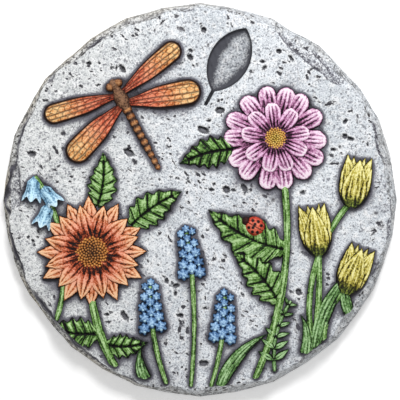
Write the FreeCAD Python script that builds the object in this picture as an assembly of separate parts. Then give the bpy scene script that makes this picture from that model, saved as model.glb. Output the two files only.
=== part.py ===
"""Round garden stepping stone, cast in one piece with a garden relief on its face.

The origin is the centre of the flat underside and +Z points up, out of the relief.
All sizes are in millimetres and all bearings are in degrees, anticlockwise from +X.
"""
import FreeCAD, Part
import math
import os

Vector = FreeCAD.Vector
ORIGIN = Vector(0, 0, 0)
AHEAD = Vector(1, 0, 0)
UP = Vector(0, 0, 1)

# Slab: a drafted wall, a hewn shoulder and a flat face
stone_diameter = 254.0
face_height = 18.0
wall_height = 11.0
wall_draft = 1.6
shoulder_width = 3.4
shoulder_wander = 1.3
shoulder_waves = 7
# Corners of the hewn rim, as (bearing, how far the corner stands in from the full radius)
rim_corners = [
    (0, 0.0), (13, 0.9), (24, 0.3), (35, 1.2), (44, 2.4), (52, 0.8), (62, 2.7), (68, 0.9), (79, 1.4),
    (90, 0.0), (101, 1.2), (112, 0.4), (124, 1.7), (134, 2.3), (142, 0.7), (152, 1.5), (161, 0.5), (171, 1.3),
    (180, 0.0), (191, 0.9), (199, 0.3), (209, 1.3), (221, 2.1), (229, 0.9), (240, 1.1), (251, 0.3), (260, 0.9),
    (270, 0.0), (281, 0.8), (292, 0.3), (303, 1.3), (315, 0.5), (324, 1.7), (333, 0.8), (341, 1.5), (350, 0.6),
]

# Flaked ledges round the rim, as (bearing, length along the rim, inset from the rim, drop below the face)
rim_ledges = [
    (53, 62, 17.0, 1.6),
    (47, 34, 10.0, 3.2),
    (176, 34, 13.0, 2.8),
    (216, 46, 6.5, 2.6),
    (141, 15, 7.5, 2.4),
    (95, 22, 6.5, 1.8),
    (331, 24, 6.0, 1.8),
]
ledge_slope = 7.0
ledge_flare = 4.5

# Relief: every form runs this far into the slab, so that it is one casting with it
root_depth = 1.5
dome_sides = 14

# Pink daisy: two rings of round-tipped petals about a domed eye
daisy_bearing, daisy_inset = 39.0, 65.0
daisy_radius = 34.0
daisy_petals = 14
daisy_petal_width = 12.0
daisy_petal_height = 3.4
daisy_inner_radius = 23.0
daisy_inner_petals = 9
daisy_inner_width = 10.6
daisy_inner_height = 4.8
daisy_eye_radius = 8.5
daisy_eye_height = 6.6

# Sunflower: two rings of pointed petals about a broad seed head
sunflower_bearing, sunflower_inset = 206.0, 51.0
sunflower_radius = 36.0
sunflower_inner_radius = 31.5
sunflower_petals = 12
sunflower_petal_width = 12.5
sunflower_petal_height = 3.4
sunflower_inner_height = 4.6
sunflower_eye_radius = 12.5
sunflower_eye_height = 6.4

# Every petal stands this much higher along its middle than along its edges, and falls this much to its tip
petal_crown = 1.7
petal_fall = 0.8

# Tulips, as (bearing, inset, lean of the head, bearing of the stalk's foot, sideways bow of the stalk)
tulips = [(7, 27.0, 80, 306, -14.0), (346, 51.0, 98, 303, 3.0), (336, 19.0, 68, 309, -6.0)]
tulip_length = 34.0
tulip_side_width = 14.0
tulip_side_height = 3.2
tulip_front_length = 31.0
tulip_front_width = 16.0
tulip_front_height = 4.8
tulip_splay = 14.0

# Bluebells along an arching stalk, as (share of the stalk from its top, bearing of the bell's mouth)
bluebells = [(0.0, 262), (0.07, 308), (0.19, 248)]
bell_length = 15.0
bell_mouth_radius = 6.4
bell_waist_radius = 4.6
bell_waist = 4.5
bell_crown_radius = 1.6

# Grape hyacinth spikes in one bed, as (bearing of the foot, bearing of the spike, length, sideways bow)
hyacinths = [(262, 101, 72.0, -4.0), (267, 91, 106.0, 4.0), (272, 80, 66.0, 3.0)]
bud_radius = 4.1
bud_height = 3.8
bud_top_share = 0.5
bud_sides = 6
spike_rows = 5
spike_pitch = 6.4
spike_spread = 5.2
spike_taper = 0.35

# Dragonfly
dragonfly_bearing, dragonfly_inset = 128.0, 47.0
dragonfly_heading = 118.0
wing_length = 50.0
wing_height = 2.4
wing_crown = 0.9
wing_root_width = 4.5
fore_wing_width = 13.5
fore_wing_sweep = 78.0
fore_wing_seat = 4.0
hind_wing_width = 16.5
hind_wing_sweep = 108.0
hind_wing_seat = -2.0
# Steps of the body from the tip of the tail to the head, as (radius, distance from between the wings)
body_steps = [(1.0, -50), (2.0, -47), (3.0, -7), (4.8, -3), (4.8, 4), (2.8, 8), (4.2, 10), (4.2, 12), (1.8, 15)]
body_sides = 8

# Ladybird on the daisy's large leaf
ladybird_bearing, ladybird_inset = 334.0, 88.0
ladybird_heading = 150.0
ladybird_radius = 6.6
ladybird_height = 5.6
ladybird_head_radius = 3.0
ladybird_head_height = 4.4

# Stalks, as (radius, sideways bow), each from a flower to a foot at the rim; a stalk's height is tied to its radius
daisy_foot, daisy_stalk = (284.0, 0.0), (2.5, 15.0)
sunflower_foot, sunflower_stalk = (249.0, 0.0), (2.9, -9.0)
tulip_stalk_radius = 2.1
bluebell_foot, bluebell_top, bluebell_stalk = (222.0, 0.0), (172.0, 21.0), (1.8, 13.0)
hyacinth_stalk_radius = 1.6
stalk_rise = 1.1

# Broad toothed leaves on a stalk, as (share of the stalk from its flower, turn from it, length, width)
daisy_leaves = [(0.43, -114, 56.0, 28.0), (0.64, -126, 44.0, 23.0)]
sunflower_leaves = [(0.58, -116, 36.0, 22.0), (0.66, 70, 28.0, 16.0)]
# Broad toothed leaves that come out from behind a flower, as (bearing, length, width)
daisy_back_leaves = [(195, 36.0, 22.0)]
sunflower_back_leaves = [(34, 40.0, 23.0), (84, 35.0, 20.0)]
back_leaf_start = 0.8
leaf_height = 3.2
leaf_crown = 1.2
leaf_teeth = 5
leaf_tooth_depth = 0.26
vein_width = 1.8
vein_depth = 1.2

# Strap leaves of the tulips and hyacinths, as (bearing of the foot, bearing of the leaf, length, width, bow)
strap_leaves = [
    (305, 64, 72.0, 9.0, 8.0), (299, 86, 38.0, 8.0, -6.0), (322, 100, 30.0, 7.0, 4.5),
    (259, 112, 34.0, 8.0, 6.0), (275, 52, 52.0, 8.0, 6.0),
]
strap_height = 3.0
strap_crown = 1.4

# Fern frond that rises from the bottom of the rim
fern_foot, fern_tip, fern_rib = (293.0, 0.0), (312.0, 40.0), (1.4, -6.0)
fern_pairs = 7
fern_leaflet_length = 15.5
fern_leaflet_width = 5.2
fern_leaflet_height = 2.6
fern_taper = 0.62
fern_turn = 56.0

# Leaf print pressed into the face
print_bearing, print_inset = 78.0, 36.0
print_heading = 62.0
print_length = 46.0
print_width = 26.0
print_depth = 3.0
print_stalk_length = 10.0
print_stalk_width = 2.4

stone_radius = stone_diameter / 2
face_level = Vector(0, 0, face_height)


def along(bearing, distance=1.0):
    """A step of the given length in the plan, towards a bearing."""
    angle = math.radians(bearing)
    return Vector(distance * math.cos(angle), distance * math.sin(angle), 0)


def spot(bearing, inset):
    """The point of the plan that lies at a bearing from the centre, an inset in from the full radius."""
    return along(bearing, stone_radius - inset)


def bearing_of(step):
    """The bearing that a step points to."""
    return math.degrees(math.atan2(step.y, step.x))


def placed(shape, place, bearing):
    """A form drawn along +X on the plane z = 0, turned to a bearing and set on the face at a place."""
    turned = shape.copy()
    turned.rotate(ORIGIN, UP, bearing)
    turned.translate(place + face_level)
    return turned


def rim_ring(level, inset=lambda bearing: 0.0, lean=0.0):
    """The rim's corners at one level, drawn in by a share of the radius and by an inset of their own."""
    share = (stone_radius - lean) / stone_radius
    return [
        along(bearing, (stone_radius - corner_inset) * share - inset(bearing)) + Vector(0, 0, level)
        for bearing, corner_inset in rim_corners
    ]


def flat_face(points):
    """A flat face through the given corners."""
    return Part.Face(Part.makePolygon(points + points[:1]))


def closed(faces):
    """The solid that a closed set of faces bounds."""
    solid = Part.makeSolid(Part.makeShell(faces))
    if solid.Volume < 0:
        solid.reverse()
    return solid


def shoulder_inset(bearing):
    """How far the hewn shoulder runs in from the wall, wandering along the rim."""
    return shoulder_width + shoulder_wander * math.sin(math.radians(shoulder_waves * bearing))


def slab():
    """The bare slab: flat underside, drafted wall of flats, hewn shoulder of triangles, flat face."""
    base = rim_ring(0)
    wall_top = rim_ring(wall_height, lean=wall_draft)
    face_edge = rim_ring(face_height, shoulder_inset, wall_draft)
    faces = [flat_face(base), flat_face(face_edge)]
    count = len(base)
    for i in range(count):
        j = (i + 1) % count
        faces.append(flat_face([base[i], base[j], wall_top[j], wall_top[i]]))
        faces.append(flat_face([wall_top[i], wall_top[j], face_edge[j]]))
        faces.append(flat_face([wall_top[i], face_edge[j], face_edge[i]]))
    return closed(faces)


def ledge(bearing, length, inset, drop):
    """What a flaked ledge takes off the rim: a tilted block that widens outwards from the ledge's step."""
    reach = 2 * inset
    inner, outer = length / 2 - ledge_flare, length / 2 + ledge_flare
    plan = [Vector(0, -inner, 0), Vector(reach, -outer, 0), Vector(reach, outer, 0), Vector(0, inner, 0)]
    block = flat_face(plan).extrude(UP * face_height)
    block.rotate(ORIGIN, Vector(0, 1, 0), ledge_slope)
    block.rotate(ORIGIN, UP, bearing)
    block.translate(spot(bearing, inset) + face_level - Vector(0, 0, drop))
    return block


def outline(*edges):
    """A closed flat face from edges in order."""
    return Part.Face(Part.Wire([edge.toShape() for edge in edges]))


def lens(length, width, bow=0.0):
    """A blade pointed at both ends, between two arcs; bow bends its middle line sideways."""
    base, tip = ORIGIN, Vector(length, 0, 0)
    left = Vector(length / 2, bow + width / 2, 0)
    right = Vector(length / 2, bow - width / 2, 0)
    return outline(Part.Arc(base, left, tip), Part.Arc(tip, right, base))


def round_tipped(length, width, root_width):
    """A blade with straight sides that widen to a half-round tip."""
    half, root = width / 2, root_width / 2
    shoulder = length - half
    a, b = Vector(0, root, 0), Vector(shoulder, half, 0)
    c, d = Vector(shoulder, -half, 0), Vector(0, -root, 0)
    return outline(
        Part.LineSegment(a, b), Part.Arc(b, Vector(length, 0, 0), c), Part.LineSegment(c, d), Part.LineSegment(d, a)
    )


def toothed(length, width, teeth):
    """A broad leaf, pointed at its tip, with saw teeth along both edges."""
    def half_width(share):
        return width / 2 * math.sin(math.pi * share ** 0.75)

    edge = [ORIGIN]
    for i in range(1, teeth + 1):
        notch, point = (i - 0.4) / (teeth + 1), (i + 0.2) / (teeth + 1)
        edge.append(Vector(notch * length, half_width(notch) * (1 - leaf_tooth_depth), 0))
        edge.append(Vector(point * length, half_width(point), 0))
    mirrored = [Vector(p.x, -p.y, 0) for p in reversed(edge[1:])]
    return flat_face(edge + [Vector(length, 0, 0)] + mirrored)


def raised(face, height):
    """A flat outline cast up to a height above the face, with its root in the slab."""
    prism = face.extrude(Vector(0, 0, root_depth + height))
    prism.translate(Vector(0, 0, -root_depth))
    return prism


def crowned(face, length, width, height, crown):
    """A raised outline with a rounded top: part of a cylinder that lies along the blade."""
    radius = ((width / 2) ** 2 + crown ** 2) / (2 * crown)
    top = Part.makeCylinder(radius, 3 * length, Vector(-length, 0, height - radius), AHEAD)
    return raised(face, height).common(top)


def ridged(face, length, width, height, crown, fall=0.0):
    """A raised outline with a roof for a top: a ridge along the blade that falls towards its tip."""
    wide, low = width, height - 2 * crown
    gable = flat_face([
        Vector(-length, -wide, -length), Vector(-length, -wide, low), Vector(-length, 0, height),
        Vector(-length, wide, low), Vector(-length, wide, -length),
    ])
    roof = gable.extrude(AHEAD * (3 * length))
    roof.rotate(Vector(0, 0, height), Vector(0, 1, 0), math.degrees(math.atan2(fall, length)))
    return raised(face, height).common(roof)


def faceted(steps, sides):
    """A body of flats about +Z, from its (radius, level) steps."""
    corners = [360.0 * (i + 0.5) / sides for i in range(sides)]
    rings = [[along(corner, radius) + UP * level for corner in corners] for radius, level in steps]
    faces = [flat_face(rings[0]), flat_face(rings[-1])]
    for low, high in zip(rings, rings[1:]):
        for i in range(sides):
            faces.append(flat_face([low[i - 1], low[i], high[i], high[i - 1]]))
    return closed(faces)


def dome(radius, height):
    """A round boss that closes in towards its flat top in two steps."""
    return faceted([
        (radius, -root_depth), (radius, height * 0.45), (radius * 0.74, height * 0.85), (radius * 0.35, height),
    ], dome_sides)


def lying(steps):
    """A faceted body laid along +X, half in the face."""
    body = faceted(steps, body_sides)
    body.rotate(ORIGIN, Vector(0, 1, 0), 90)
    return body


def ring_of(shape, count, radius, first=0.0):
    """Copies of a petal round a flower's middle, each starting at a radius."""
    petals = []
    for i in range(count):
        petal = shape.copy()
        petal.translate(Vector(radius, 0, 0))
        petal.rotate(ORIGIN, UP, first + 360.0 * i / count)
        petals.append(petal)
    return petals


def daisy(place):
    """The pink daisy's petals and eye."""
    root = daisy_eye_radius / 2
    forms = [dome(daisy_eye_radius, daisy_eye_height)]
    rings = [
        (daisy_radius, daisy_petals, daisy_petal_width, daisy_petal_height),
        (daisy_inner_radius, daisy_inner_petals, daisy_inner_width, daisy_inner_height),
    ]
    for radius, count, width, height in rings:
        length = radius - root
        petal = ridged(round_tipped(length, width, width / 2), length, width, height, petal_crown, petal_fall)
        forms += ring_of(petal, count, root)
    return [placed(form, place, 0) for form in forms]


def sunflower(place):
    """The sunflower's petals and seed head; the inner petals stand between the outer ones."""
    root = sunflower_eye_radius * 2 / 3
    forms = [dome(sunflower_eye_radius, sunflower_eye_height)]
    rings = [
        (sunflower_radius, sunflower_petal_height, 0.0),
        (sunflower_inner_radius, sunflower_inner_height, 180.0 / sunflower_petals),
    ]
    for radius, height, first in rings:
        length = radius - root
        petal = ridged(lens(length, sunflower_petal_width), length, sunflower_petal_width, height,
                       petal_crown, petal_fall)
        forms += ring_of(petal, sunflower_petals, root, first)
    return [placed(form, place, 0) for form in forms]


def tulip(place, lean):
    """One tulip head: two side petals splayed from the foot, and a front petal over them."""
    foot = place - along(lean, tulip_length / 2)
    side = crowned(lens(tulip_length, tulip_side_width), tulip_length, tulip_side_width,
                   tulip_side_height, petal_crown)
    front = crowned(lens(tulip_front_length, tulip_front_width), tulip_front_length, tulip_front_width,
                    tulip_front_height, petal_crown)
    forms = [placed(side, foot, lean + turn) for turn in (-tulip_splay, tulip_splay)]
    return forms + [placed(front, foot, lean)]


def stalk(start, end, radius, bow):
    """A stalk along one arc of the plan, chamfered along its top; returns its solid and its arc."""
    step = end - start
    shape = Part.Arc(start, start + step * 0.5 + along(bearing_of(step) + 90, bow), end).toShape()
    heading = bearing_of(shape.tangentAt(shape.FirstParameter))
    height = radius * stalk_rise
    half_section = [(radius, -root_depth), (radius, height / 2), (radius / 2, height)]
    section = half_section + [(-across, rise) for across, rise in reversed(half_section)]
    face = flat_face([start + along(heading + 90, across) + UP * rise for across, rise in section])
    turn = math.degrees(shape.LastParameter - shape.FirstParameter)
    tube = face.revolve(shape.Curve.Center, shape.Curve.Axis, turn)
    return placed(tube, ORIGIN, 0), shape


def on_stalk(shape, share):
    """The point at a share of a stalk's arc, and the bearing that the stalk has there."""
    at = shape.FirstParameter + share * (shape.LastParameter - shape.FirstParameter)
    return shape.valueAt(at), bearing_of(shape.tangentAt(at))


def toothed_leaf(length, width):
    """A broad toothed leaf with a groove along its middle."""
    blade = crowned(toothed(length, width, leaf_teeth), length, width, leaf_height, leaf_crown)
    groove = flat_face([
        Vector(0, -vein_width / 2, leaf_height),
        Vector(0, vein_width / 2, leaf_height),
        Vector(0, 0, leaf_height - vein_depth),
    ])
    return blade.cut(groove.extrude(AHEAD * length))


def leafy_stalk(place, radius, foot, stalk_values, leaves, back_leaves):
    """A flower's stalk with toothed leaves along it, and others that start behind the flower."""
    solid, shape = stalk(place, spot(*foot), *stalk_values)
    forms = [solid]
    for share, turn, length, width in leaves:
        point, bearing = on_stalk(shape, share)
        forms.append(placed(toothed_leaf(length, width), point, bearing + turn))
    for bearing, length, width in back_leaves:
        start = place + along(bearing, back_leaf_start * radius)
        forms.append(placed(toothed_leaf(length, width), start, bearing))
    return forms


def straps():
    """Long bowed leaves that rise from the rim."""
    forms = []
    for foot, bearing, length, width, bow in strap_leaves:
        strap = crowned(lens(length, width, bow), length, width + 2 * abs(bow), strap_height, strap_crown)
        forms.append(placed(strap, spot(foot, 0), bearing))
    return forms


def tulip_bed():
    """The tulips with their stalks."""
    forms = []
    for bearing, inset, lean, foot, bow in tulips:
        place = spot(bearing, inset)
        forms.append(stalk(place, spot(foot, 0), tulip_stalk_radius, bow)[0])
        forms += tulip(place, lean)
    return forms


def bluebell_plant():
    """An arching stalk hung with bells that lie half in the face."""
    solid, shape = stalk(spot(*bluebell_top), spot(*bluebell_foot), *bluebell_stalk)
    bell = lying([(bell_crown_radius, 0), (bell_waist_radius, bell_waist), (bell_mouth_radius, bell_length)])
    return [solid] + [placed(bell, on_stalk(shape, share)[0], mouth) for share, mouth in bluebells]


def bud(size):
    """A faceted bud that narrows towards its top."""
    radius, height = bud_radius * size, bud_height * size
    return faceted([(radius, -root_depth), (radius, height / 3), (radius * bud_top_share, height)], bud_sides)


def hyacinth_bed():
    """Spikes of buds in three columns, with the outer columns half a row lower and the buds smaller at the tip."""
    forms = []
    for foot, bearing, length, bow in hyacinths:
        start = spot(foot, 0)
        solid, shape = stalk(start + along(bearing, length), start, hyacinth_stalk_radius, bow)
        forms.append(solid)
        for row in range(spike_rows):
            size = 1 - spike_taper * (1 - row / (spike_rows - 1))
            for side in (-1, 0, 1):
                share = spike_pitch * (row - 0.4 + abs(side) / 2) / length
                point, heading = on_stalk(shape, share)
                place = point + along(heading + 90, side * spike_spread * size)
                forms.append(placed(bud(size), place, heading))
    return forms


def dragonfly(place):
    """Four wings and a turned body, half in the face."""
    forms = [placed(lying(body_steps), place, dragonfly_heading)]
    wings = [
        (fore_wing_width, fore_wing_sweep, fore_wing_seat),
        (hind_wing_width, hind_wing_sweep, hind_wing_seat),
    ]
    for width, sweep, seat in wings:
        wing = crowned(round_tipped(wing_length, width, wing_root_width), wing_length, width, wing_height, wing_crown)
        root = place + along(dragonfly_heading, seat)
        forms += [placed(wing, root, dragonfly_heading + side * sweep) for side in (-1, 1)]
    return forms


def ladybird(place):
    """A domed wing case and a small domed head."""
    head = dome(ladybird_head_radius, ladybird_head_height)
    head.translate(AHEAD * ladybird_radius)
    return [placed(form, place, ladybird_heading) for form in (dome(ladybird_radius, ladybird_height), head)]


def fern():
    """A frond: a curved rib with pairs of leaflets that cross it at their roots and shorten towards its tip."""
    solid, shape = stalk(spot(*fern_tip), spot(*fern_foot), *fern_rib)
    forms = [solid]
    for i in range(fern_pairs):
        share = (i + 0.4) / (fern_pairs + 0.4)
        point, bearing = on_stalk(shape, share)
        size = 1 - fern_taper * (1 - share)
        length, width = fern_leaflet_length * size, fern_leaflet_width * size
        leaflet = ridged(lens(length, width), length, width, fern_leaflet_height, petal_crown / 2)
        for side in (-1, 1):
            heading = bearing + 180 + side * fern_turn
            forms.append(placed(leaflet, point - along(heading, fern_rib[0]), heading))
    return forms


def leaf_print():
    """What the leaf print takes out of the face: a pointed leaf with its stalk."""
    deep = UP * (2 * print_depth)
    leaf = lens(print_length, print_width).extrude(deep)
    slot = Part.makeBox(print_stalk_length + print_width / 4, print_stalk_width, deep.z,
                        Vector(-print_stalk_length, -print_stalk_width / 2, 0))
    foot = spot(print_bearing, print_inset) - along(print_heading, print_length / 2) - UP * print_depth
    return placed(leaf, foot, print_heading).fuse(placed(slot, foot, print_heading))


def relief():
    """Every raised form of the picture, set on the face."""
    daisy_place = spot(daisy_bearing, daisy_inset)
    sunflower_place = spot(sunflower_bearing, sunflower_inset)
    forms = daisy(daisy_place) + sunflower(sunflower_place)
    forms += leafy_stalk(daisy_place, daisy_radius, daisy_foot, daisy_stalk, daisy_leaves, daisy_back_leaves)
    forms += leafy_stalk(sunflower_place, sunflower_radius, sunflower_foot, sunflower_stalk, sunflower_leaves,
                         sunflower_back_leaves)
    forms += straps() + tulip_bed() + bluebell_plant() + hyacinth_bed() + fern()
    forms += dragonfly(spot(dragonfly_bearing, dragonfly_inset))
    return forms + ladybird(spot(ladybird_bearing, ladybird_inset))


def trimmed(forms):
    """Relief that reaches past the face is cut off at the rim, as the mould's edge cuts it."""
    edge = rim_ring(0, shoulder_inset, wall_draft)
    inside = flat_face(edge).extrude(UP * (3 * face_height))
    return [form.common(inside) for form in forms]


def stepping_stone():
    """The whole casting as one solid."""
    body = slab()
    for values in rim_ledges:
        body = body.cut(ledge(*values))
    body = body.multiFuse(trimmed(relief()))
    body = body.cut(leaf_print())
    return body.removeSplitter()


os.makedirs("parts", exist_ok=True)
stone = stepping_stone()
print("solids", len(stone.Solids), "valid", stone.isValid(), "volume_cm3", round(stone.Volume / 1000, 1))
stone.Solids[0].exportStep("parts/stepping_stone.step")
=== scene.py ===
# %% [markdown]
# # A cast and painted garden stepping stone
# The object is one casting: a round slab of pale cement with a hewn rim, a garden picture raised on its
# face, and a leaf pressed into it. We could sculpt it by hand, but a sculpt can't be explained or
# repeated. Here every form is a small formula on a grid of two parameters, so a learner can change one
# number and look again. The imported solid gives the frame: its box, its outline and the body that every
# piece rides on.

import bpy
import numpy as np
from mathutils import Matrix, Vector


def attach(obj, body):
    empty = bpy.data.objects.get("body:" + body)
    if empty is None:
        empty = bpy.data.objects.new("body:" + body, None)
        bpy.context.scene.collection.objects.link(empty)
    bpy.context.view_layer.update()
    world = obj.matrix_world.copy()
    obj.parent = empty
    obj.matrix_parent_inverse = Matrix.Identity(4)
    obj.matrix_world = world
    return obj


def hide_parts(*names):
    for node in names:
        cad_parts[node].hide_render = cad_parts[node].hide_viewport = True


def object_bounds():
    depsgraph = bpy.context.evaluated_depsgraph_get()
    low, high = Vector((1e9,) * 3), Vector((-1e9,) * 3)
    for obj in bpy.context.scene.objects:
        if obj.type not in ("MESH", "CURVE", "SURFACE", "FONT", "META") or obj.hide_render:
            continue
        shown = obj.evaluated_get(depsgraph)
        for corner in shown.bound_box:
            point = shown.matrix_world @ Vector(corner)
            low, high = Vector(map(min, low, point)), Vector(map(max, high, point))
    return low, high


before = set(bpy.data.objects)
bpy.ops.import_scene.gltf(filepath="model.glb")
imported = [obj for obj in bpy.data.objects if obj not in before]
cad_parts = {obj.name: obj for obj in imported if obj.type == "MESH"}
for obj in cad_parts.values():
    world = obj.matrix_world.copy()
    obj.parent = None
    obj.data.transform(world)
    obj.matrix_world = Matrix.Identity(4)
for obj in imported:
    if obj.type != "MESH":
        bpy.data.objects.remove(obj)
cad_box = [list(corner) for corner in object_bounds()]
MM = 0.001
STONE_RADIUS = round(cad_box[1][0] / MM, 1)
FACE = 18.0
rng = np.random.default_rng(11)
print("solid's box in mm:", (np.array(cad_box) / MM).round(1).tolist())

# %% [markdown]
# ## From arrays to a mesh
# Blender keeps a mesh as long flat lists: corner points, then the corners of each face. Faces could be
# added one by one, but foreach_set fills such a list from a numpy array in one go, which is far quicker.
# Values that belong to a point, such as how much paint it caught, go along as named attributes, which the
# materials read.

# %% Mesh maker
def add_piece(name, points, quads, triangles, values, material, sharp=40.0):
    """One object from points in millimetres above the face; it sits at the origin and rides on the stone.

    The corners of all faces run on in one list, quads first, and a face is known by where its corners start.
    Edges that bend by more than sharp degrees stay sharp.
    """
    mesh = bpy.data.meshes.new(name)
    mesh.vertices.add(len(points))
    mesh.vertices.foreach_set("co", ((points + [0.0, 0.0, FACE]) * MM).astype(np.float32).ravel())
    corners = np.concatenate([quads.ravel(), triangles.ravel()])
    starts = np.concatenate([np.arange(len(quads)) * 4, quads.size + np.arange(len(triangles)) * 3])
    mesh.loops.add(len(corners))
    mesh.loops.foreach_set("vertex_index", corners.astype(np.int32))
    mesh.polygons.add(len(starts))
    mesh.polygons.foreach_set("loop_start", starts.astype(np.int32))
    for key, value in values.items():
        layer = mesh.attributes.new(key, "FLOAT", "POINT")
        layer.data.foreach_set("value", np.ascontiguousarray(value, np.float32).ravel())
    mesh.update(calc_edges=True)
    mesh.validate()
    mesh.shade_smooth()
    mesh.set_sharp_from_angle(angle=np.radians(sharp))
    mesh.materials.append(material)
    piece = bpy.data.objects.new(name, mesh)
    bpy.context.scene.collection.objects.link(piece)
    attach(piece, "root")
    print(name, "points", len(points), "triangles", 2 * len(quads) + len(triangles))
    return piece


print("a millimetre is", MM, "in the scene, and the face lies", FACE, "mm above the ground")

# %% [markdown]
# ## Bearings and profiles
# A round stone has no left edge to measure from, so places on it are given as a mason would mark them: a
# bearing from the centre and an inset from the rim. Its forms rise and fall along a few soft curves. They
# could be drawn with Blender's curve tools, but as formulas they work on whole arrays and give every form
# the same softness.

# %% Bearings and profiles
def along(bearing, distance=1.0):
    """A step in the plan towards a bearing in degrees, anticlockwise from +X."""
    angle = np.radians(bearing)
    return np.stack([np.cos(angle) * distance, np.sin(angle) * distance], axis=-1)


def spot(bearing, inset):
    """The point at a bearing from the stone's centre, an inset in from its full radius."""
    return along(bearing, STONE_RADIUS - inset)


def seen_along(x, y, bearing):
    """The same place on turned axes: how far it lies along a bearing, and how far to the left of it."""
    ahead_x, ahead_y = along(bearing)
    return x * ahead_x + y * ahead_y, y * ahead_x - x * ahead_y


def smooth(low, high, x):
    """0 below low, 1 above high, and the S-curve 3t^2 - 2t^3 between them."""
    t = np.clip((x - low) / (high - low), 0, 1)
    return t * t * (3 - 2 * t)


def puff(s, power=2.4):
    """A pillow's profile: 1 in the middle, falling ever more steeply to 0 where |s| is 1."""
    return (1 - np.clip(np.abs(s), 0, 1) ** power) ** (1 / power)


def round_end(u, start, power):
    """1 up to a start, and from there a pillow's fall to 0 at the tip, where u is 1."""
    return puff(np.clip((u - start) / (1 - start), 0, 1), power)


def hump(x, width):
    """A bell curve, exp(-(x / width)^2): 1 where x is 0, and almost nothing beyond twice the width."""
    return np.exp(-(x / width) ** 2)


print("a pillow's height at quarters of its width:", puff(np.array([0, 0.25, 0.5, 0.75, 1])).round(2))

# %% [markdown]
# ## Blades, the one form behind the whole picture
# Petals, leaves, stalks and wings are all blades: a middle line on the face, a width on both sides of it,
# and a puffed upper side. The real stone came out of a mould, so its forms have soft round backs and no
# undercuts. A blade's upper side is therefore a plain grid, u along it and v across it. A bent blade is a
# profile carried along an arc.

# %% Grids and paths
NEVER_STRAIGHT = 1e-6


def blade_grid(rows, columns):
    """u from root (0) to tip (1), v from right edge (-1) to left edge (1), closer at their ends by sines."""
    u = 0.5 - 0.5 * np.cos(np.linspace(0, np.pi, rows))
    v = np.sin(np.linspace(-np.pi / 2, np.pi / 2, columns))
    return np.meshgrid(u, v, indexing="ij")


def arc(start, end, bow, u):
    """Points at shares u of the arc from start to end whose middle stands off the chord by bow, to the left.

    Half its angle is twice the arctangent of 2 bow / chord, and its radius is half the chord over the sine.
    """
    step = end - start
    chord = np.hypot(*step)
    half_angle = 2 * np.arctan(2 * bow / chord) + NEVER_STRAIGHT
    radius = chord / (2 * np.sin(half_angle))
    theta = half_angle * (2 * u - 1)
    x = chord / 2 + radius * np.sin(theta)
    y = radius * (np.cos(theta) - np.cos(half_angle))
    forward = step / chord
    left = np.array([-forward[1], forward[0]])
    return start + x[..., None] * forward + y[..., None] * left


def carried(path, across, rise, ahead=0.0):
    """A profile carried along a path: a row's points stand off it by across to the left and by rise upwards.

    Each point also moves by ahead along the path's own direction.
    """
    tangent = np.gradient(path, axis=-2)
    tangent /= np.linalg.norm(tangent, axis=-1, keepdims=True)
    left = np.stack([-tangent[..., 1], tangent[..., 0]], axis=-1)
    shift = np.broadcast_to(ahead, across.shape)
    plan = path[..., None, :] + left[..., None, :] * across[..., None]
    plan = plan + tangent[..., None, :] * shift[..., None]
    return np.concatenate([plan, rise[..., None]], axis=-1)


print("shares along a blade of seven rows:", blade_grid(7, 3)[0][:, 0].round(2))

# %% [markdown]
# ## Closing a blade
# A shell that is open below would show its inside and can't be weighed or printed. A Solidify modifier
# could give it a bottom, but it would thicken the rim as well. Instead the border of each grid is walked
# once round, copied down to the root's depth in the slab, and closed by a fan about the middle of that
# lower ring.

# %% Shells
ROOT = 1.5
PICTURE_RADIUS = 119.5
footprint = []


def grid_faces(rows, columns):
    """A grid's squares as quads, and the numbers of its border points, walked once round."""
    grid = np.arange(rows * columns).reshape(rows, columns)
    quads = np.stack([grid[:-1, :-1], grid[1:, :-1], grid[1:, 1:], grid[:-1, 1:]], axis=-1)
    border = np.concatenate([grid[:, 0], grid[-1, 1:], grid[-2::-1, -1], grid[0, -2:0:-1]])
    return quads.reshape(-1, 4), border


def shells(tops, **values):
    """Closed solids from upper sides (count, rows, columns, 3): border dropped to -ROOT, a fan below.

    What would reach over the rim is drawn back to the picture's radius, as if the mould's edge had cut it.
    """
    tops = tops.reshape(-1, *tops.shape[-3:])
    count, rows, columns, _ = tops.shape
    faces, border = grid_faces(rows, columns)
    reach = np.linalg.norm(tops[..., :2], axis=-1, keepdims=True)
    drawn_back = tops[..., :2] * np.minimum(1, PICTURE_RADIUS / np.maximum(reach, 1))
    upper = np.concatenate([drawn_back, tops[..., 2:]], axis=-1).reshape(count, -1, 3)
    lower = upper[:, border].copy()
    lower[..., 2] = -ROOT
    points = np.concatenate([upper, lower, lower.mean(axis=1, keepdims=True)], axis=1)
    ring = rows * columns + np.arange(len(border))
    after = np.roll(ring, -1)
    walls = np.stack([ring, after, np.roll(border, -1), border], axis=-1)
    fan = np.stack([np.full(len(border), points.shape[1] - 1), after, ring], axis=-1)
    step = (np.arange(count) * points.shape[1])[:, None, None]
    spread = {}
    for key, value in values.items():
        flat = np.broadcast_to(value, tops.shape[:3]).reshape(count, -1)
        spread[key] = np.concatenate([flat, flat[:, border], flat[:, border[:1]]], axis=1).ravel()
    footprint.append(upper[..., :2].reshape(-1, 2))
    quads = (np.concatenate([faces, walls]) + step).reshape(-1, 4)
    return points.reshape(-1, 3), quads, (fan + step).reshape(-1, 3), spread


def joined(*parts):
    """Several sets of shells as one: points run on, and face numbers move up by the points before them."""
    offsets = np.cumsum([0] + [len(part[0]) for part in parts[:-1]])
    keys = sorted(set().union(*[part[3] for part in parts]))
    return (
        np.concatenate([part[0] for part in parts]),
        np.concatenate([part[1] + offset for part, offset in zip(parts, offsets)]),
        np.concatenate([part[2] + offset for part, offset in zip(parts, offsets)]),
        {key: np.concatenate([part[3].get(key, np.zeros(len(part[0]))) for part in parts]) for key in keys},
    )


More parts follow.
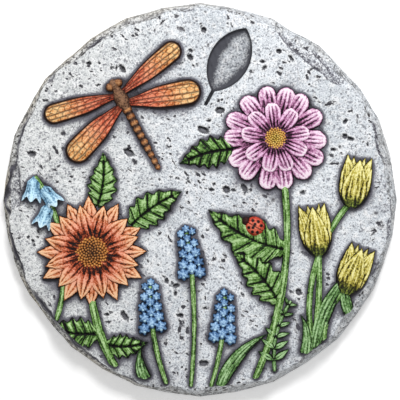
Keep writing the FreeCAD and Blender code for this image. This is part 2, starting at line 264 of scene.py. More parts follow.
print("a grid of 3 by 3 points has", len(grid_faces(3, 3)[0]), "squares and the border", grid_faces(3, 3)[1])

# %% [markdown]
# ## Materials as short sentences
# A material in Blender is a net of nodes. It could be wired by hand in the Shader Editor, but a net of a
# hundred nodes is hard to read there and harder to change. The classes below add a node with each call and
# hand back its output, so a finish reads like a formula. Colours are written as a screen shows them and
# turned into linear light, because that is what shaders work in.

# %% Wiring
def linear(colour):
    """An 8-bit screen colour as linear light with full alpha: ((c + 0.055) / 1.055) ^ 2.4 above the toe."""
    c = np.array(colour) / 255
    return (*np.where(c <= 0.04045, c / 12.92, ((c + 0.055) / 1.055) ** 2.4).tolist(), 1.0)


def words(kind):
    """The words that a class adds to the one before it."""
    return [word for word in vars(kind) if not word.startswith("_")]


class Wiring:
    """A new material's node tree: a call adds a node, links its inputs and hands back an output."""

    def __init__(self, name):
        self.material = bpy.data.materials.new(name)
        self.material.use_nodes = True
        self.tree = self.material.node_tree
        self.shader = self.tree.nodes["Principled BSDF"]

    def put(self, socket, value):
        """Links an output to a socket, or sets the socket to a plain value."""
        if isinstance(value, bpy.types.NodeSocket):
            self.tree.links.new(value, socket)
        else:
            socket.default_value = value

    def add(self, kind, out, inputs=(), **settings):
        """One node of a kind, with its settings and inputs, read at the named output."""
        node = self.tree.nodes.new(kind)
        for key, value in settings.items():
            setattr(node, key, value)
        for key, value in dict(inputs).items():
            self.put(node.inputs[key], value)
        return node.outputs[out]


print("a mid grey in linear light:", round(linear((128, 128, 128))[0], 3))

# %% [markdown]
# ## Places and patterns
# Grains and brush marks have a size of their own, however large the piece is that they lie on. Generated
# coordinates would stretch them with the piece. So a pattern is read from the point's own place on the
# stone in millimetres, and from the values that the mesh carries.

# %% Patterns
class Patterns(Wiring):
    """Wiring, and what a point knows: the mesh's values, its place, and noise at that place."""

    def value(self, name):
        """A point attribute of the mesh."""
        return self.add("ShaderNodeAttribute", "Fac", attribute_name=name)

    def place(self):
        """The point's place on the stone in millimetres."""
        here = self.add("ShaderNodeTexCoord", "Object")
        return self.add("ShaderNodeMapping", "Vector", {"Vector": here, "Scale": (1 / MM, 1 / MM, 1 / MM)})

    def axis(self, where, name):
        """One coordinate of a place, or one channel of a colour."""
        return self.add("ShaderNodeSeparateXYZ", name, {"Vector": where})

    def noise(self, where, scale, detail, rough=0.5, out="Fac"):
        """Cloudy noise whose features are about 1 / scale millimetres wide."""
        inputs = {"Vector": where, "Scale": scale, "Detail": detail, "Roughness": rough}
        return self.add("ShaderNodeTexNoise", out, inputs)


print("words for patterns:", words(Patterns))

# %% [markdown]
# ## Weights
# How much of a coat or of dirt lies at a point is a number: much in a groove, none on a ridge. Such numbers
# could come from Math nodes that are set up one by one. As words like times, most and fading they can be
# put into one line, much as they would be said.

# %% Weights
class Weights(Patterns):
    """Patterns, and the sums that turn them into shares."""

    def math(self, operation, *values, clamp=False):
        """A sum on numbers in turn: the first with the second, the result with the third, and so on."""
        result = values[0]
        for value in values[1:]:
            pair = {0: result, 1: value}
            result = self.add("ShaderNodeMath", 0, pair, operation=operation, use_clamp=clamp)
        return result

    def times(self, *values):
        """The product of numbers."""
        return self.math("MULTIPLY", *values)

    def plus(self, *values):
        """The sum of numbers."""
        return self.math("ADD", *values)

    def most(self, *values):
        """The largest of numbers."""
        return self.math("MAXIMUM", *values)

    def swing(self, texture, share):
        """A texture's swing about its middle: (texture - 0.5) times a share."""
        return self.times(self.math("SUBTRACT", texture, 0.5), share)

    def off(self, x, level):
        """How far x is from a level, either way."""
        return self.math("ABSOLUTE", self.math("SUBTRACT", x, level), 0.0)

    def between(self, x, low, high, out_low, out_high):
        """x from low..high to out_low..out_high along an S-curve, held at both ends."""
        inputs = {"Value": x, "From Min": low, "From Max": high, "To Min": out_low, "To Max": out_high}
        return self.add("ShaderNodeMapRange", "Result", inputs, interpolation_type="SMOOTHSTEP")

    def rising(self, x, low, high, full=1.0):
        """An S-curve from 0 where x is low to its full value where x is high."""
        return self.between(x, low, high, 0.0, full)

    def fading(self, x, low, high, full=1.0):
        """An S-curve from its full value where x is low to 0 where x is high."""
        return self.between(x, low, high, full, 0.0)


print("words for weights:", words(Weights))

# %% [markdown]
# ## Coats
# Colour goes onto the stone in coats, each over the last. In the Shader Editor that is a long chain of Mix
# nodes, each linked to the one before. Here the material remembers the colour so far, and a mix or a tint
# lays one more coat over it.

# %% Coats
class Coats(Weights):
    """Weights, and the coats that they share out; colour is the colour so far."""

    colour = None

    def ramp(self, x, stops):
        """Colours along x, as (place, screen colour)."""
        node = self.tree.nodes.new("ShaderNodeValToRGB")
        self.put(node.inputs["Fac"], x)
        elements = node.color_ramp.elements
        elements[0].position = stops[0][0]
        elements[1].position = stops[-1][0]
        for place, _ in stops[1:-1]:
            elements.new(place)
        for element, (_, colour) in zip(elements, stops):
            element.color = linear(colour)
        return node.outputs["Color"]

    def mix(self, share, colour):
        """The colour so far is turned into another by a share."""
        node = self.tree.nodes.new("ShaderNodeMix")
        node.data_type = "RGBA"
        sockets = (node.inputs[0], node.inputs[6], node.inputs[7])
        for socket, value in zip(sockets, (share, self.colour, colour)):
            self.put(socket, value)
        self.colour = node.outputs[2]

    def tint(self, share, screen_colour):
        """The colour so far is turned into a screen colour by a share."""
        self.mix(share, linear(screen_colour))

    def finish(self, rough, shine, height, strength, distance):
        """Colour, roughness, specular level, and a bump from a height of at most a distance in metres."""
        bump = {"Height": height, "Strength": strength, "Distance": distance}
        sockets = {"Base Color": self.colour, "Roughness": rough, "Specular IOR Level": shine,
                   "Normal": self.add("ShaderNodeBump", "Normal", bump)}
        for key, value in sockets.items():
            self.put(self.shader.inputs[key], value)
        print(self.material.name, "has", len(self.tree.nodes), "nodes")
        return self.material


print("words for coats:", words(Coats))

# %% [markdown]
# ## Dry-brushed paint
# Each colour on the stone was painted on, wiped with a thin black wash that stays in the grooves, and
# then brushed almost dry with a paler tint that catches only the ridges. An image could show that, but it
# would blur close up. Here the attribute light says how proud a point stands, and it also carries painted
# light: a painted highlight on the crown of each rounded form, and painted shade in grooves, at roots, in
# seams and inside the bells. One colour ramp over it gives all three coats. Noise breaks the coats up as
# bristles do, and near the face, where wash gathers, the ramp is pulled down to black, which is also painted
# shade at each form's foot. The attributes along and across measure each blade in millimetres, so that a
# second noise can be stretched into brush strokes that follow the blade.

# %% Paint maker
# The darkest coat: wash, and also the painted shade of grooves, seams, roots and feet
WASH_AND_SHADE_BLACK = (18, 15, 17)
COAT_LEVELS = (0.0, 0.24, 0.52, 0.85)
STROKE_STRETCH = 0.16
PAINT_SHINE = 0.15


def paint(name, coats, second=None, marks=None, gloss=0.56):
    """Dry-brushed paint: a ramp over light, from wash through crease and base to the pale top coat.

    Light is stirred by bristle, streak and blotch noise, and fades out over the last millimetre to the face,
    as painted shade at each form's foot.
    coats and second are (crease, base, top) colours, second where the attribute blush is 1. marks is a plain
    colour where the attribute marks is 1. The bristles vary the roughness about gloss.
    """
    n = Coats(name)
    here = n.place()
    lengthwise = n.times(n.value("along"), STROKE_STRETCH)
    lay = n.add("ShaderNodeCombineXYZ", 0, {0: lengthwise, 1: n.value("across")})
    bristle = n.noise(here, scale=0.85, detail=4, rough=0.65)
    streak = n.noise(lay, scale=0.6, detail=4, rough=0.6)
    blotch = n.noise(here, scale=0.22, detail=2)
    tone = n.plus(n.value("light"), n.swing(bristle, 1.35), n.swing(streak, 1.6), n.swing(blotch, 0.35))
    # Painted shade: the coats are pulled down to black over the last millimetre above the face
    above_foot = n.rising(n.axis(here, "Z"), FACE + 0.15, FACE + 1.1)
    tone = n.math("MULTIPLY", tone, above_foot, clamp=True)
    n.colour = n.ramp(tone, list(zip(COAT_LEVELS, (WASH_AND_SHADE_BLACK, *coats))))
    if second:
        n.mix(n.value("blush"), n.ramp(tone, list(zip(COAT_LEVELS, (WASH_AND_SHADE_BLACK, *second)))))
    if marks:
        n.tint(n.value("marks"), marks)
    rough = n.between(bristle, 0.3, 0.7, gloss - 0.08, gloss + 0.14)
    return n.finish(rough, PAINT_SHINE, n.plus(bristle, streak), strength=0.8, distance=0.6 * MM)


print("the coats start at light", COAT_LEVELS)

# %% [markdown]
# ## A set of blades at once
# A flower is the same petal many times over. One petal could be modelled and copied with an Array
# modifier, but then all would be alike. Here all petals are worked out together: numpy carries a first
# axis that counts the blades, and small random differences in length, turn and sway keep them from
# looking stamped.

# %% Blade sets
STREAK_SPREAD = 40.0
GLINT_INSET = 1.8
GLINT_WIDTH = 0.7
SEAM_FROM = 0.2
SEAM_TO = 1.2
GROOVE_WIDTH = 0.09
GROOVE_DEPTH = 0.16
# How far chance goes: share of a length, sway per length, light, and turn in degrees
LENGTH_CHANCE = 0.05
SWAY_CHANCE = 0.035
LIGHT_CHANCE = 0.04
TURN_CHANCE = 2.0


def strokes(light, lengthwise, across, count=1):
    """The values that the paint reads on a blade; each blade starts at another place in the streak noise."""
    start = STREAK_SPREAD * rng.uniform(size=(count, 1, 1))
    return {"light": light, "along": lengthwise + start, "across": across}


def set_out(x, y, z, bearings, places):
    """Blades drawn along +X, each turned to its bearing and moved to its place."""
    angle = np.radians(np.asarray(bearings, float))[:, None, None]
    place = np.broadcast_to(places, (len(angle), 2))[:, None, None, :]
    east = x * np.cos(angle) - y * np.sin(angle) + place[..., 0]
    north = x * np.sin(angle) + y * np.cos(angle) + place[..., 1]
    return np.stack(np.broadcast_arrays(east, north, z), axis=-1)


def edge_coats(gap, seam=0.6, glint=0.14):
    """Light by the gap to an edge in mm: wash and painted shade in a seam, then a brushed, painted highlight.
    """
    return glint * hump(gap - GLINT_INSET, GLINT_WIDTH) - seam * (1 - smooth(SEAM_FROM, SEAM_TO, gap))


def blades(places, bearings, length, width, height, outline, grooves=(), lift=0.4, wild=1.0, shade=0.3,
           rows=44, columns=25):
    """Petal-like blades as (tops, values, u).

    Height is lift plus a pillow across times a pillow along, less lengthwise grooves, bell curves of v.
    Light follows the pillow across, drops in the grooves, over the shaded share at the root and in a seam
    along the edge, and grows a little towards the tip. wild scales the chance differences between blades.
    """
    u, v = blade_grid(rows, columns)
    count = len(bearings)
    each = (count, 1, 1)
    sizes = (length, width, height, lift)
    length, width, height, lift = [np.broadcast_to(size, count).reshape(each) for size in sizes]
    stretch = rng.uniform(1 - LENGTH_CHANCE * wild, 1, each)
    sway = wild * rng.normal(0, SWAY_CHANCE, each) * length
    furrow = sum((hump(v - middle, GROOVE_WIDTH) for middle in grooves), np.zeros_like(u))
    furrow = furrow * smooth(0.05, 0.3, u) * (1 - smooth(0.8, 0.97, u))
    lengthwise = (0.82 + 0.18 * np.sin(np.pi * u)) * (0.25 + 0.75 * round_end(u, 0.45, 2.2))
    z = lift + (height - lift) * puff(v) * lengthwise - GROOVE_DEPTH * height * furrow
    half = width / 2 * outline(u)
    tops = set_out(length * stretch * u, half * v + sway * u ** 2, z, bearings, places)
    # Painted light as well as dry-brush: a painted highlight along the crown, painted shade in grooves and
    # root
    light = 0.02 + 0.64 * puff(v, 2.4) + 0.2 * u - 0.55 * furrow - 0.45 * (1 - smooth(0.3 * shade, shade, u))
    light = light + edge_coats(np.minimum(half * (1 - np.abs(v)), length * (1 - u)))
    light = light + wild * rng.normal(0, LIGHT_CHANCE, each)
    return tops, strokes(light, length * u, half * v, count), u


def flower_ring(centre, count, first, root, reach, **form):
    """Blades evenly round a centre, from a root radius out to a reach, each turned off by a little chance."""
    turns = first + 360.0 * np.arange(count) / count + rng.normal(0, TURN_CHANCE, count)
    return blades(centre + along(turns, root), turns, reach - root, **form)


print("brushed edge by its gap of 0, 1, 2 and 3 mm:", edge_coats(np.arange(4.0)).round(2))

# %% [markdown]
# ## Outlines of petals
# Seen from above, petals differ mostly in their outline. It could be traced as a curve for every flower,
# but half the width as a function of u says the same in one line, and it stretches with the petal.

# %% Petal outlines
def round_tip(u, shoulder):
    """Half width of a strap petal: from half to full at the shoulder, then a half circle to the tip."""
    body = 0.5 + 0.5 * np.sin(np.pi / 2 * np.clip(u / shoulder, 0, 1))
    return body * np.sqrt(1 - 0.999 * np.clip((u - shoulder) / (1 - shoulder), 0, 1) ** 2)


def pointed(u, skew=0.85):
    """Half width of a pointed petal: the sine of pi times a power of u, so it is widest below its middle."""
    return np.clip(np.sin(np.pi * (0.06 + 0.94 * u) ** skew), 0.03, 1) ** 0.9


print("half width of a round tip:", round_tip(np.array([0, 0.5, 0.9, 1.0]), 0.8).round(2))

# %% [markdown]
# ## Domes and seed heads
# Flower eyes, buds and insects' heads are domes. Blender's UV sphere has a pole where faces crowd
# together, so a square grid is bent into a disc instead and puffed up. A seed head is a dome under many
# small ones. In nature each seed turns on from the last by the golden angle, and one line of arithmetic
# places them all.

# %% Domes
GOLDEN_ANGLE = 137.508


def disc_grid(n, even=False):
    """A square grid bent into a disc: (a, b) goes to (a sqrt(1 - b^2 / 2), b sqrt(1 - a^2 / 2))."""
    s = np.linspace(-1, 1, n)
    a, b = np.meshgrid(*[s if even else np.sin(np.pi / 2 * s)] * 2, indexing="ij")
    x = a * np.sqrt(1 - b * b / 2)
    y = b * np.sqrt(1 - a * a / 2)
    return x, y, np.minimum(np.hypot(x, y), 1)


def domes(places, radius, height, base=0.0, n=9):
    """Round bosses as (tops, light): a pillow over a disc, standing on a base height."""
    x, y, rho = disc_grid(n)
    sizes = (radius, height, base)
    radius, height, base = [np.broadcast_to(size, len(places))[:, None, None] for size in sizes]
    rise = base + (height - base) * puff(rho, 2.0)
    tops = set_out(radius * x, radius * y, rise, np.zeros(len(places)), places)
    # Painted light as well as dry-brush: the crown of a dome is painted lighter than its edge
    return tops, 0.1 + 0.8 * puff(rho, 1.8)


def seed_head(centre, radius, height, count, seed):
    """A dome covered with seeds: seed k lies at k golden angles and at radius times the root of k / count."""
    k = np.arange(count) + 0.5
    out = np.sqrt(k / count)
    places = centre + along(GOLDEN_ANGLE * k, 0.94 * radius * out)
    level = 0.8 + (height - 0.8 - seed) * puff(out * 0.94, 2.0)
    seeds, light = domes(places, seed * (0.75 + 0.35 * out), level + 0.75 * seed, level - 0.4, n=5)
    body, shade = domes(centre[None], radius, height - seed, n=25)
    seeds = shells(seeds, light=light, blush=out[:, None, None])
    return joined(seeds, shells(body, light=shade * 0.3, blush=0.0))


print("light over a dome, from edge to middle:", domes(np.zeros((1, 2)), 1.0, 1.0)[1][:5, 4].round(2))

# %% [markdown]
# ## The pink daisy
# Two rings of round-tipped petals lie about a domed eye. The petals are painted rose, wiped dark in their
# grooves and brushed nearly white at the tips. The rings could be one set, but the inner one is lifted a
# little so that it reads as lying on the outer one.

# %% Daisy
ROSE = ((60, 24, 46), (182, 114, 158), (244, 202, 234))
PALE_ROSE = ((90, 48, 78), (206, 148, 188), (252, 236, 246))
YOLK = ((104, 76, 24), (204, 172, 70), (246, 232, 140))
AMBER = ((96, 46, 16), (196, 116, 50), (238, 176, 96))
DAISY_ROOT = 4.2

daisy_centre = spot(39, 65)
# Petals, reach, width, height, lift, first bearing and shaded share of each ring
daisy_rings = [(14, 34.0, 13.0, 3.4, 0.5, 0.0, 0.85), (9, 23.0, 11.6, 4.8, 1.9, 13.0, 0.5)]
rings = []
for count, reach, width, height, lift, first, shade in daisy_rings:
    shoulder = 1 - width / (2 * (reach - DAISY_ROOT))
    tops, values, u = flower_ring(
        daisy_centre, count, first, DAISY_ROOT, reach, width=width, height=height, lift=lift, shade=shade,
        outline=lambda share: round_tip(share, shoulder), grooves=(-0.42, 0.0, 0.42))
    rings.append(shells(tops, blush=smooth(0.45, 1.0, u), **values))
daisy_seeds = seed_head(daisy_centre, radius=8.5, height=6.5, count=110, seed=0.85)
add_piece("daisy_petals", *joined(*rings), paint("rose_paint", ROSE, second=PALE_ROSE))
add_piece("daisy_eye", *daisy_seeds, paint("yolk_paint", YOLK, second=AMBER))

# %% [markdown]
# ## The sunflower
# Its petals are pointed, with two creases each, and run from burnt orange at the seed head to pale orange
# at the tips. They could be traced one by one, but the same ring of blades makes them, with another
# outline, and the same spiral of seeds fills the head.

# %% Sunflower
FLAME = ((60, 20, 10), (190, 88, 54), (244, 170, 144))
GOLD = ((78, 36, 12), (208, 126, 70), (249, 207, 164))
BARK = ((46, 28, 18), (104, 66, 40), (170, 118, 74))
SUNFLOWER_ROOT = 8.3
SUNFLOWER_PETALS = 12

sunflower_centre = spot(206, 51)
# Reach, height, lift and first bearing of each ring
sunflower_rings = [(36.0, 3.4, 0.5, 0.0), (31.5, 4.7, 1.8, 15.0)]
rings = []
for reach, height, lift, first in sunflower_rings:
    tops, values, u = flower_ring(
        sunflower_centre, SUNFLOWER_PETALS, first, SUNFLOWER_ROOT, reach, width=13.0, height=height,
        lift=lift, shade=0.45, outline=pointed, grooves=(-0.3, 0.3))
    rings.append(shells(tops, blush=smooth(0.3, 1.0, u), **values))
sunflower_seeds = seed_head(sunflower_centre, radius=12.5, height=6.3, count=150, seed=1.0)
add_piece("sunflower_petals", *joined(*rings), paint("flame_paint", FLAME, second=GOLD))
add_piece("sunflower_eye", *sunflower_seeds, paint("bark_paint", BARK, second=AMBER))

# %% [markdown]
# ## The tulips
# A tulip seen from the side is a cup of pointed petals: two behind, two splayed at the sides and one in
# front. A turned cup would look like a bowl, so the petals are laid over each other. All five start at
# the stalk's end, and only their lean and their measures differ.

# %% Tulips
LEMON = ((68, 60, 14), (198, 184, 80), (252, 246, 178))
LIME = ((62, 76, 28), (140, 156, 66), (200, 208, 120))
TULIP_FOOT = 17.0

# Bearing and inset of the head, its lean, bearing of the stalk's foot, and sideways bow of the stalk
tulips = [(7, 27.0, 80, 306, -14.0), (346, 51.0, 98, 303, 3.0), (336, 19.0, 68, 309, -6.0)]
# Splay from the lean, length, width, height and lift of each petal
tulip_petals = np.array([(-6, 33.0, 12.0, 2.4, 0.3), (6, 33.0, 12.0, 2.4, 0.3), (-14, 34.0, 14.5, 3.4, 0.5),
                         (14, 34.0, 14.5, 3.4, 0.5), (0, 31.0, 17.0, 4.8, 1.5)])
splay, length, width, height, lift = tulip_petals.T
heads = []
for bearing, inset, lean, _, _ in tulips:
    foot = spot(bearing, inset) - along(lean, TULIP_FOOT)
    tops, values, u = blades(
        foot, lean + splay, length, width, height, outline=lambda share: pointed(share, 0.72),
        grooves=(-0.55, -0.2, 0.2, 0.55), lift=lift, wild=0.4)
    heads.append(shells(tops, blush=1 - smooth(0.0, 0.3, u), **values))
add_piece("tulip_heads", *joined(*heads), paint("lemon_paint", LEMON, second=LIME))

# %% [markdown]
# ## Stalks
# A stalk is a half-round bar along one arc of the plan, with two shallow flutes. A curve with a bevel
# would give a full round tube that floats on the face, while a carried profile is half sunk from the
# start. Where a stalk would run over the rim it stops, as if the mould's edge had cut it.

# %% Stalks
GRASS = ((30, 54, 22), (104, 147, 68), (186, 218, 158))
TULIP_STALK = 13.0
FLOWER_SKIP = 31.0
PATH_STEPS = 400


def kept_run(line, skip=0.0):
    """The first and last share of a line inside the picture's edge and at least skip from its start."""
    path = arc(*line, np.linspace(0, 1, PATH_STEPS))
    kept = np.hypot(*path.T) < PICTURE_RADIUS
    kept &= np.hypot(*(path - path[0]).T) >= skip
    return np.flatnonzero(kept)[[0, -1]] / (PATH_STEPS - 1)


def stalk(line, radius, skip=0.0):
    """A half-round bar on an arc: across is radius times v, height its pillow less two flutes; round ends."""
    start, end, bow = line
    first, last = kept_run(line, skip)
    u, v = blade_grid(90, 15)
    path = arc(start, end, bow, first + (last - first) * u[:, 0])
    girth = radius * (1 + 0.06 * np.sin(9 * u + bow)) * (0.3 + 0.7 * puff(2 * u - 1, 8))
    flute = hump(np.abs(v) - 0.45, 0.12)
    top = carried(path, girth * v, 1.15 * girth * puff(v, 2.0) - 0.12 * radius * flute)
    # Painted light as well as dry-brush: a painted highlight along the crown, painted shade in flutes and
    # edges
    light = 0.16 + 0.56 * puff(v, 1.8) - 0.3 * flute
    light = light + edge_coats(3 * girth * (1 - np.abs(v)), seam=0.3, glint=0.0)
    length = np.hypot(*(end - start)) * (last - first)
    return shells(top, **strokes(light, length * u, girth * v))


# A line is its start at the flower, its end on the rim, and its bow
daisy_line = (daisy_centre, spot(284, 0), 15.0)
sunflower_line = (sunflower_centre, spot(249, 0), -9.0)
bluebell_line = (spot(172, 21), spot(222, 0), 13.0)
tulip_lines = [(spot(bearing, inset) - along(lean, TULIP_STALK), spot(foot, 0), bow)
               for bearing, inset, lean, foot, bow in tulips]
# Bearing of the foot, bearing of the spike, length and bow of each grape hyacinth
hyacinths = [(262, 101, 72.0, -4.0), (267, 91, 106.0, 4.0), (272, 80, 66.0, 3.0)]
hyacinth_lines = [(spot(foot, 0) + along(bearing, length), spot(foot, 0), bow)
                  for foot, bearing, length, bow in hyacinths]

bars = [stalk(daisy_line, radius=2.5, skip=FLOWER_SKIP), stalk(sunflower_line, radius=2.9, skip=FLOWER_SKIP)]
bars += [stalk(bluebell_line, radius=1.8)]
bars += [stalk(line, radius=2.1) for line in tulip_lines]
bars += [stalk(line, radius=1.6) for line in hyacinth_lines]
grass_paint = paint("grass_paint", GRASS)
add_piece("stalks", *joined(*bars), grass_paint)

# %% [markdown]
# ## Broad leaves
# A leaf has a midrib groove, side veins that slant forward to its teeth, and a blade that swells between
# the veins. Veins could be painted on, but they have to catch the light and hold the wash. The grid's
# cross lines are bent to run along the veins: the midrib's points are drawn back towards the root, so a
# vein is simply a line of equal u, and its groove needs no search.

# %% Leaves
LEAF_TEETH = 6
TOOTH_CREST = 0.6
LEAF_EDGE = 0.3
LEAF_RISE = 3.1
MIDRIB_DEPTH = 1.0
VEIN_DEPTH = 0.45
VEIN_SLANT = 0.15


def leaf(start, bearing, length, width, bow):
    """A toothed leaf.

    Half width is the sine of pi u^0.75, cut in by a saw wave of u. Height is a pillow across, swelling
    between the side veins and dropping in the midrib and vein grooves, bell curves of the distance in
    millimetres.
    """
    u, v = blade_grid(120, 49)
    out = np.abs(v)
    wave = (LEAF_TEETH * u - TOOTH_CREST) % 1.0
    tooth = np.where(wave < TOOTH_CREST, wave / TOOTH_CREST, (1 - wave) / (1 - TOOTH_CREST))
    edge = np.clip(np.sin(np.pi * (0.02 + 0.98 * u) ** 0.75), 0.02, 1) * (0.72 + 0.28 * smooth(0, 1, tooth))
    half = width / 2 * edge
    across = half * v
    beat = LEAF_TEETH * u - 0.2
    swell = 0.5 - 0.5 * np.cos(2 * np.pi * beat)
    vein_gap = np.abs((beat + 0.5) % 1.0 - 0.5) / LEAF_TEETH * length
    side_vein = hump(vein_gap, 0.65) * (1 - smooth(0.75, 1.0, out))
    fine_vein = np.cos(2 * np.pi * 4 * beat) * smooth(0.1, 0.4, out)
    midrib = hump(across, 0.75) * (1 - smooth(0.85, 1.0, u))
    body = puff(v, 2.6) * round_end(u, 0.5, 3.0) * (0.74 + 0.26 * swell * smooth(0, 0.5, out))
    z = LEAF_EDGE + LEAF_RISE * body * smooth(0.0, 0.2, u + 0.1)
    z = z - MIDRIB_DEPTH * midrib - VEIN_DEPTH * side_vein - 0.07 * fine_vein
    path = arc(start, start + along(bearing, length), bow, u[:, 0])
    top = carried(path, across, np.maximum(z, 0.1), -VEIN_SLANT * length * (1 - out) * np.sin(np.pi * u))
    # Painted light as well as dry-brush: painted highlights on the swells, painted shade in the vein grooves
    light = 0.06 + 0.42 * puff(v, 2.6) + 0.38 * swell * smooth(0.1, 0.9, out) - 0.12 * fine_vein
    light = light - 0.6 * midrib - 0.45 * side_vein + edge_coats(half * (1 - out), seam=0.4, glint=0.1)
    return shells(top, **strokes(light + rng.normal(0, 0.05), np.abs(across), length * u))


def on_line(line, share):
    """Points at shares of a stalk's arc, and the bearings that the stalk has there."""
    near = arc(*line, np.asarray(share)[..., None] + np.array([-0.01, 0.0, 0.01]))
    step = near[..., 2, :] - near[..., 0, :]
    return near[..., 1, :], np.degrees(np.arctan2(step[..., 1], step[..., 0]))


# Leaves on a stalk: its line, share from the flower, turn from the stalk, length, width, bow
stalk_leaves = [(daisy_line, 0.43, -114, 56.0, 29.0, 4.0), (daisy_line, 0.64, -126, 44.0, 24.0, -3.0),
                (sunflower_line, 0.58, -116, 36.0, 22.0, 2.0), (sunflower_line, 0.66, 70, 28.0, 17.0, -2.0)]
# Leaves behind a flower: its centre, start from the centre, bearing, length, width, bow
back_leaves = [(daisy_centre, 27.2, 195, 36.0, 22.0, -2.0), (sunflower_centre, 28.8, 34, 40.0, 23.0, 2.0),
               (sunflower_centre, 28.8, 84, 35.0, 20.0, -2.0)]
greens = []
for line, share, turn, *form in stalk_leaves:
    point, bearing = on_line(line, share)
    greens.append(leaf(point, bearing + turn, *form))
for centre, start, bearing, *form in back_leaves:
    greens.append(leaf(centre + along(bearing, start), bearing, *form))
add_piece("broad_leaves", *joined(*greens), grass_paint)

# %% [markdown]
# ## Strap leaves
# Tulips and hyacinths have long bowed leaves with parallel veins. A toothed leaf squeezed thin would have
# slanting veins, so this is a blade of its own whose grooves run lengthwise.

# %% Strap leaves
FERN_GREEN = ((28, 50, 24), (94, 136, 72), (174, 208, 156))


def strap(foot, bearing, length, width, bow):
    """A bowed lance: half width is about the sine of pi u, height a pillow with three lengthwise grooves."""
    start = spot(foot, 0)
    line = (start, start + along(bearing, length), bow)
    first, last = kept_run(line)
    u, v = blade_grid(90, 25)
    share = first + (last - first) * u
    half = width / 2 * np.clip(np.sin(np.pi * (0.1 + 0.9 * share) ** 0.9), 0.03, 1)
    furrow = sum(hump(v - middle, 0.1) for middle in (-0.5, 0.0, 0.5)) * (1 - smooth(0.85, 1, u))
    top = carried(arc(*line, share[:, 0]), half * v, 0.3 + 2.7 * puff(v) - 0.4 * furrow)
    # Painted light: the left side of the strap painted lighter than the right, painted shade in its grooves
    light = 0.16 + 0.5 * puff(v, 2) + 0.16 * v - 0.35 * furrow
    light = light + edge_coats(half * (1 - np.abs(v)), seam=0.4, glint=0.1)
    return shells(top, **strokes(light, length * share, half * v))


# Bearing of the foot, bearing of the leaf, length, width and bow of each strap leaf
strap_leaves = [(305, 64, 72.0, 10.0, 8.0), (299, 86, 38.0, 9.0, -6.0), (322, 100, 30.0, 8.0, 4.5),
                (259, 112, 34.0, 9.0, 6.0), (275, 52, 52.0, 9.0, 6.0)]
fern_paint = paint("fern_paint", FERN_GREEN)
add_piece("strap_leaves", *joined(*[strap(*form) for form in strap_leaves]), fern_paint)

# %% [markdown]
# ## The fern
# A fern is a rib with pairs of small leaflets that shrink towards its tip. Copies of one leaflet could be
# scattered along a curve, but a loop over the pairs does it in plain sight. A pair too close to the rim
# is left out.

# %% Fern
FERN_PAIRS = 7
LEAFLET_TURNS = np.array([-56.0, 56.0])
RIM_ROOM = 6.0
fern_line = (spot(312, 40), spot(293, 0), -6.0)
sprig = [stalk(fern_line, radius=1.4)]
for pair in range(FERN_PAIRS):
    share = (pair + 0.4) / (FERN_PAIRS + 0.4)
    point, bearing = on_line(fern_line, share)
    size = 1 - 0.62 * (1 - share)
    tops, values, _ = blades(
        point, bearing + 180 + LEAFLET_TURNS, length=14.5 * size, width=6.0 * size, height=2.7,
        outline=pointed, grooves=(0.0,), rows=22, columns=13)
    if np.hypot(*point) < PICTURE_RADIUS - RIM_ROOM:
        sprig.append(shells(tops, **values))
add_piece("fern", *joined(*sprig), fern_paint)

# %% [markdown]
# ## Bluebells
# A bell lies on its side, half in the stone: a turned profile that flares at the mouth, with six soft
# lobes, and a lip that turns back into the inside, which is painted dark as shade. A Screw modifier could
# turn the profile, but the lobes need a radius that changes with the angle, which a formula gives at once.

# %% Bluebells
SKY = ((16, 30, 44), (98, 144, 178), (194, 232, 250))
PALE_SKY = ((38, 62, 86), (130, 174, 206), (212, 240, 253))
LOBES = 6
LOBE_TURN = 360 / LOBES
RIB_WIDTH = np.sqrt(60)


def bell(place, mouth, length=15.0, neck=1.4, waist=4.6, lip=6.4):
    """A bell on its side: radius by share s of its length, with lobes as a cosine of the angle round it.

    Beyond s = 1 the lip turns back: radius and length shrink together.
    """
    s, v = np.meshgrid(np.linspace(0, 1.3, 40), np.linspace(-1, 1, 33), indexing="ij")
    out = np.minimum(s, 1.0)
    inner = np.clip(s - 1.0, 0, 1)
    angle = np.pi / 2 * v
    lobe = np.cos(LOBES * angle) * smooth(0.45, 1.0, out)
    radius = neck + (waist - neck) * smooth(0, 0.32, out) + (lip - waist) * smooth(0.55, 1.0, out)
    radius = radius * (1 - 0.9 * inner) * (1 + 0.06 * lobe)
    ahead = length * (out - 0.9 * inner) * (1 + 0.1 * lobe)
    tops = set_out(ahead, radius * np.sin(angle), radius * np.cos(angle) * 0.97, [mouth], place)
    rib = hump((np.degrees(angle) + LOBE_TURN / 2) % LOBE_TURN - LOBE_TURN / 2, RIB_WIDTH)
    # Painted light: a painted highlight along the bell's upper side and ribs, painted shade inside the lip
    light = 0.28 + 0.36 * np.cos(angle) + 0.2 * rib + 0.2 * smooth(0.75, 1, out) - 2.4 * inner
    return shells(tops, blush=smooth(0.6, 1, out), **strokes(light, length * out, radius * angle))


# Share of the stalk at which each bell hangs, and the bearing of its mouth
bluebells = [(0.0, 262), (0.07, 308), (0.19, 248)]
bells = [bell(on_line(bluebell_line, share)[0], mouth) for share, mouth in bluebells]
add_piece("bluebells", *joined(*bells), paint("sky_paint", SKY, second=PALE_SKY))

# %% [markdown]
# ## Grape hyacinths
# A hyacinth is a spike of round buds in three columns, each bud with a small paler mouth. A particle
# system could strew the buds, but their order is what makes the spike: rows that shrink towards the top,
# and side columns set half a row back.

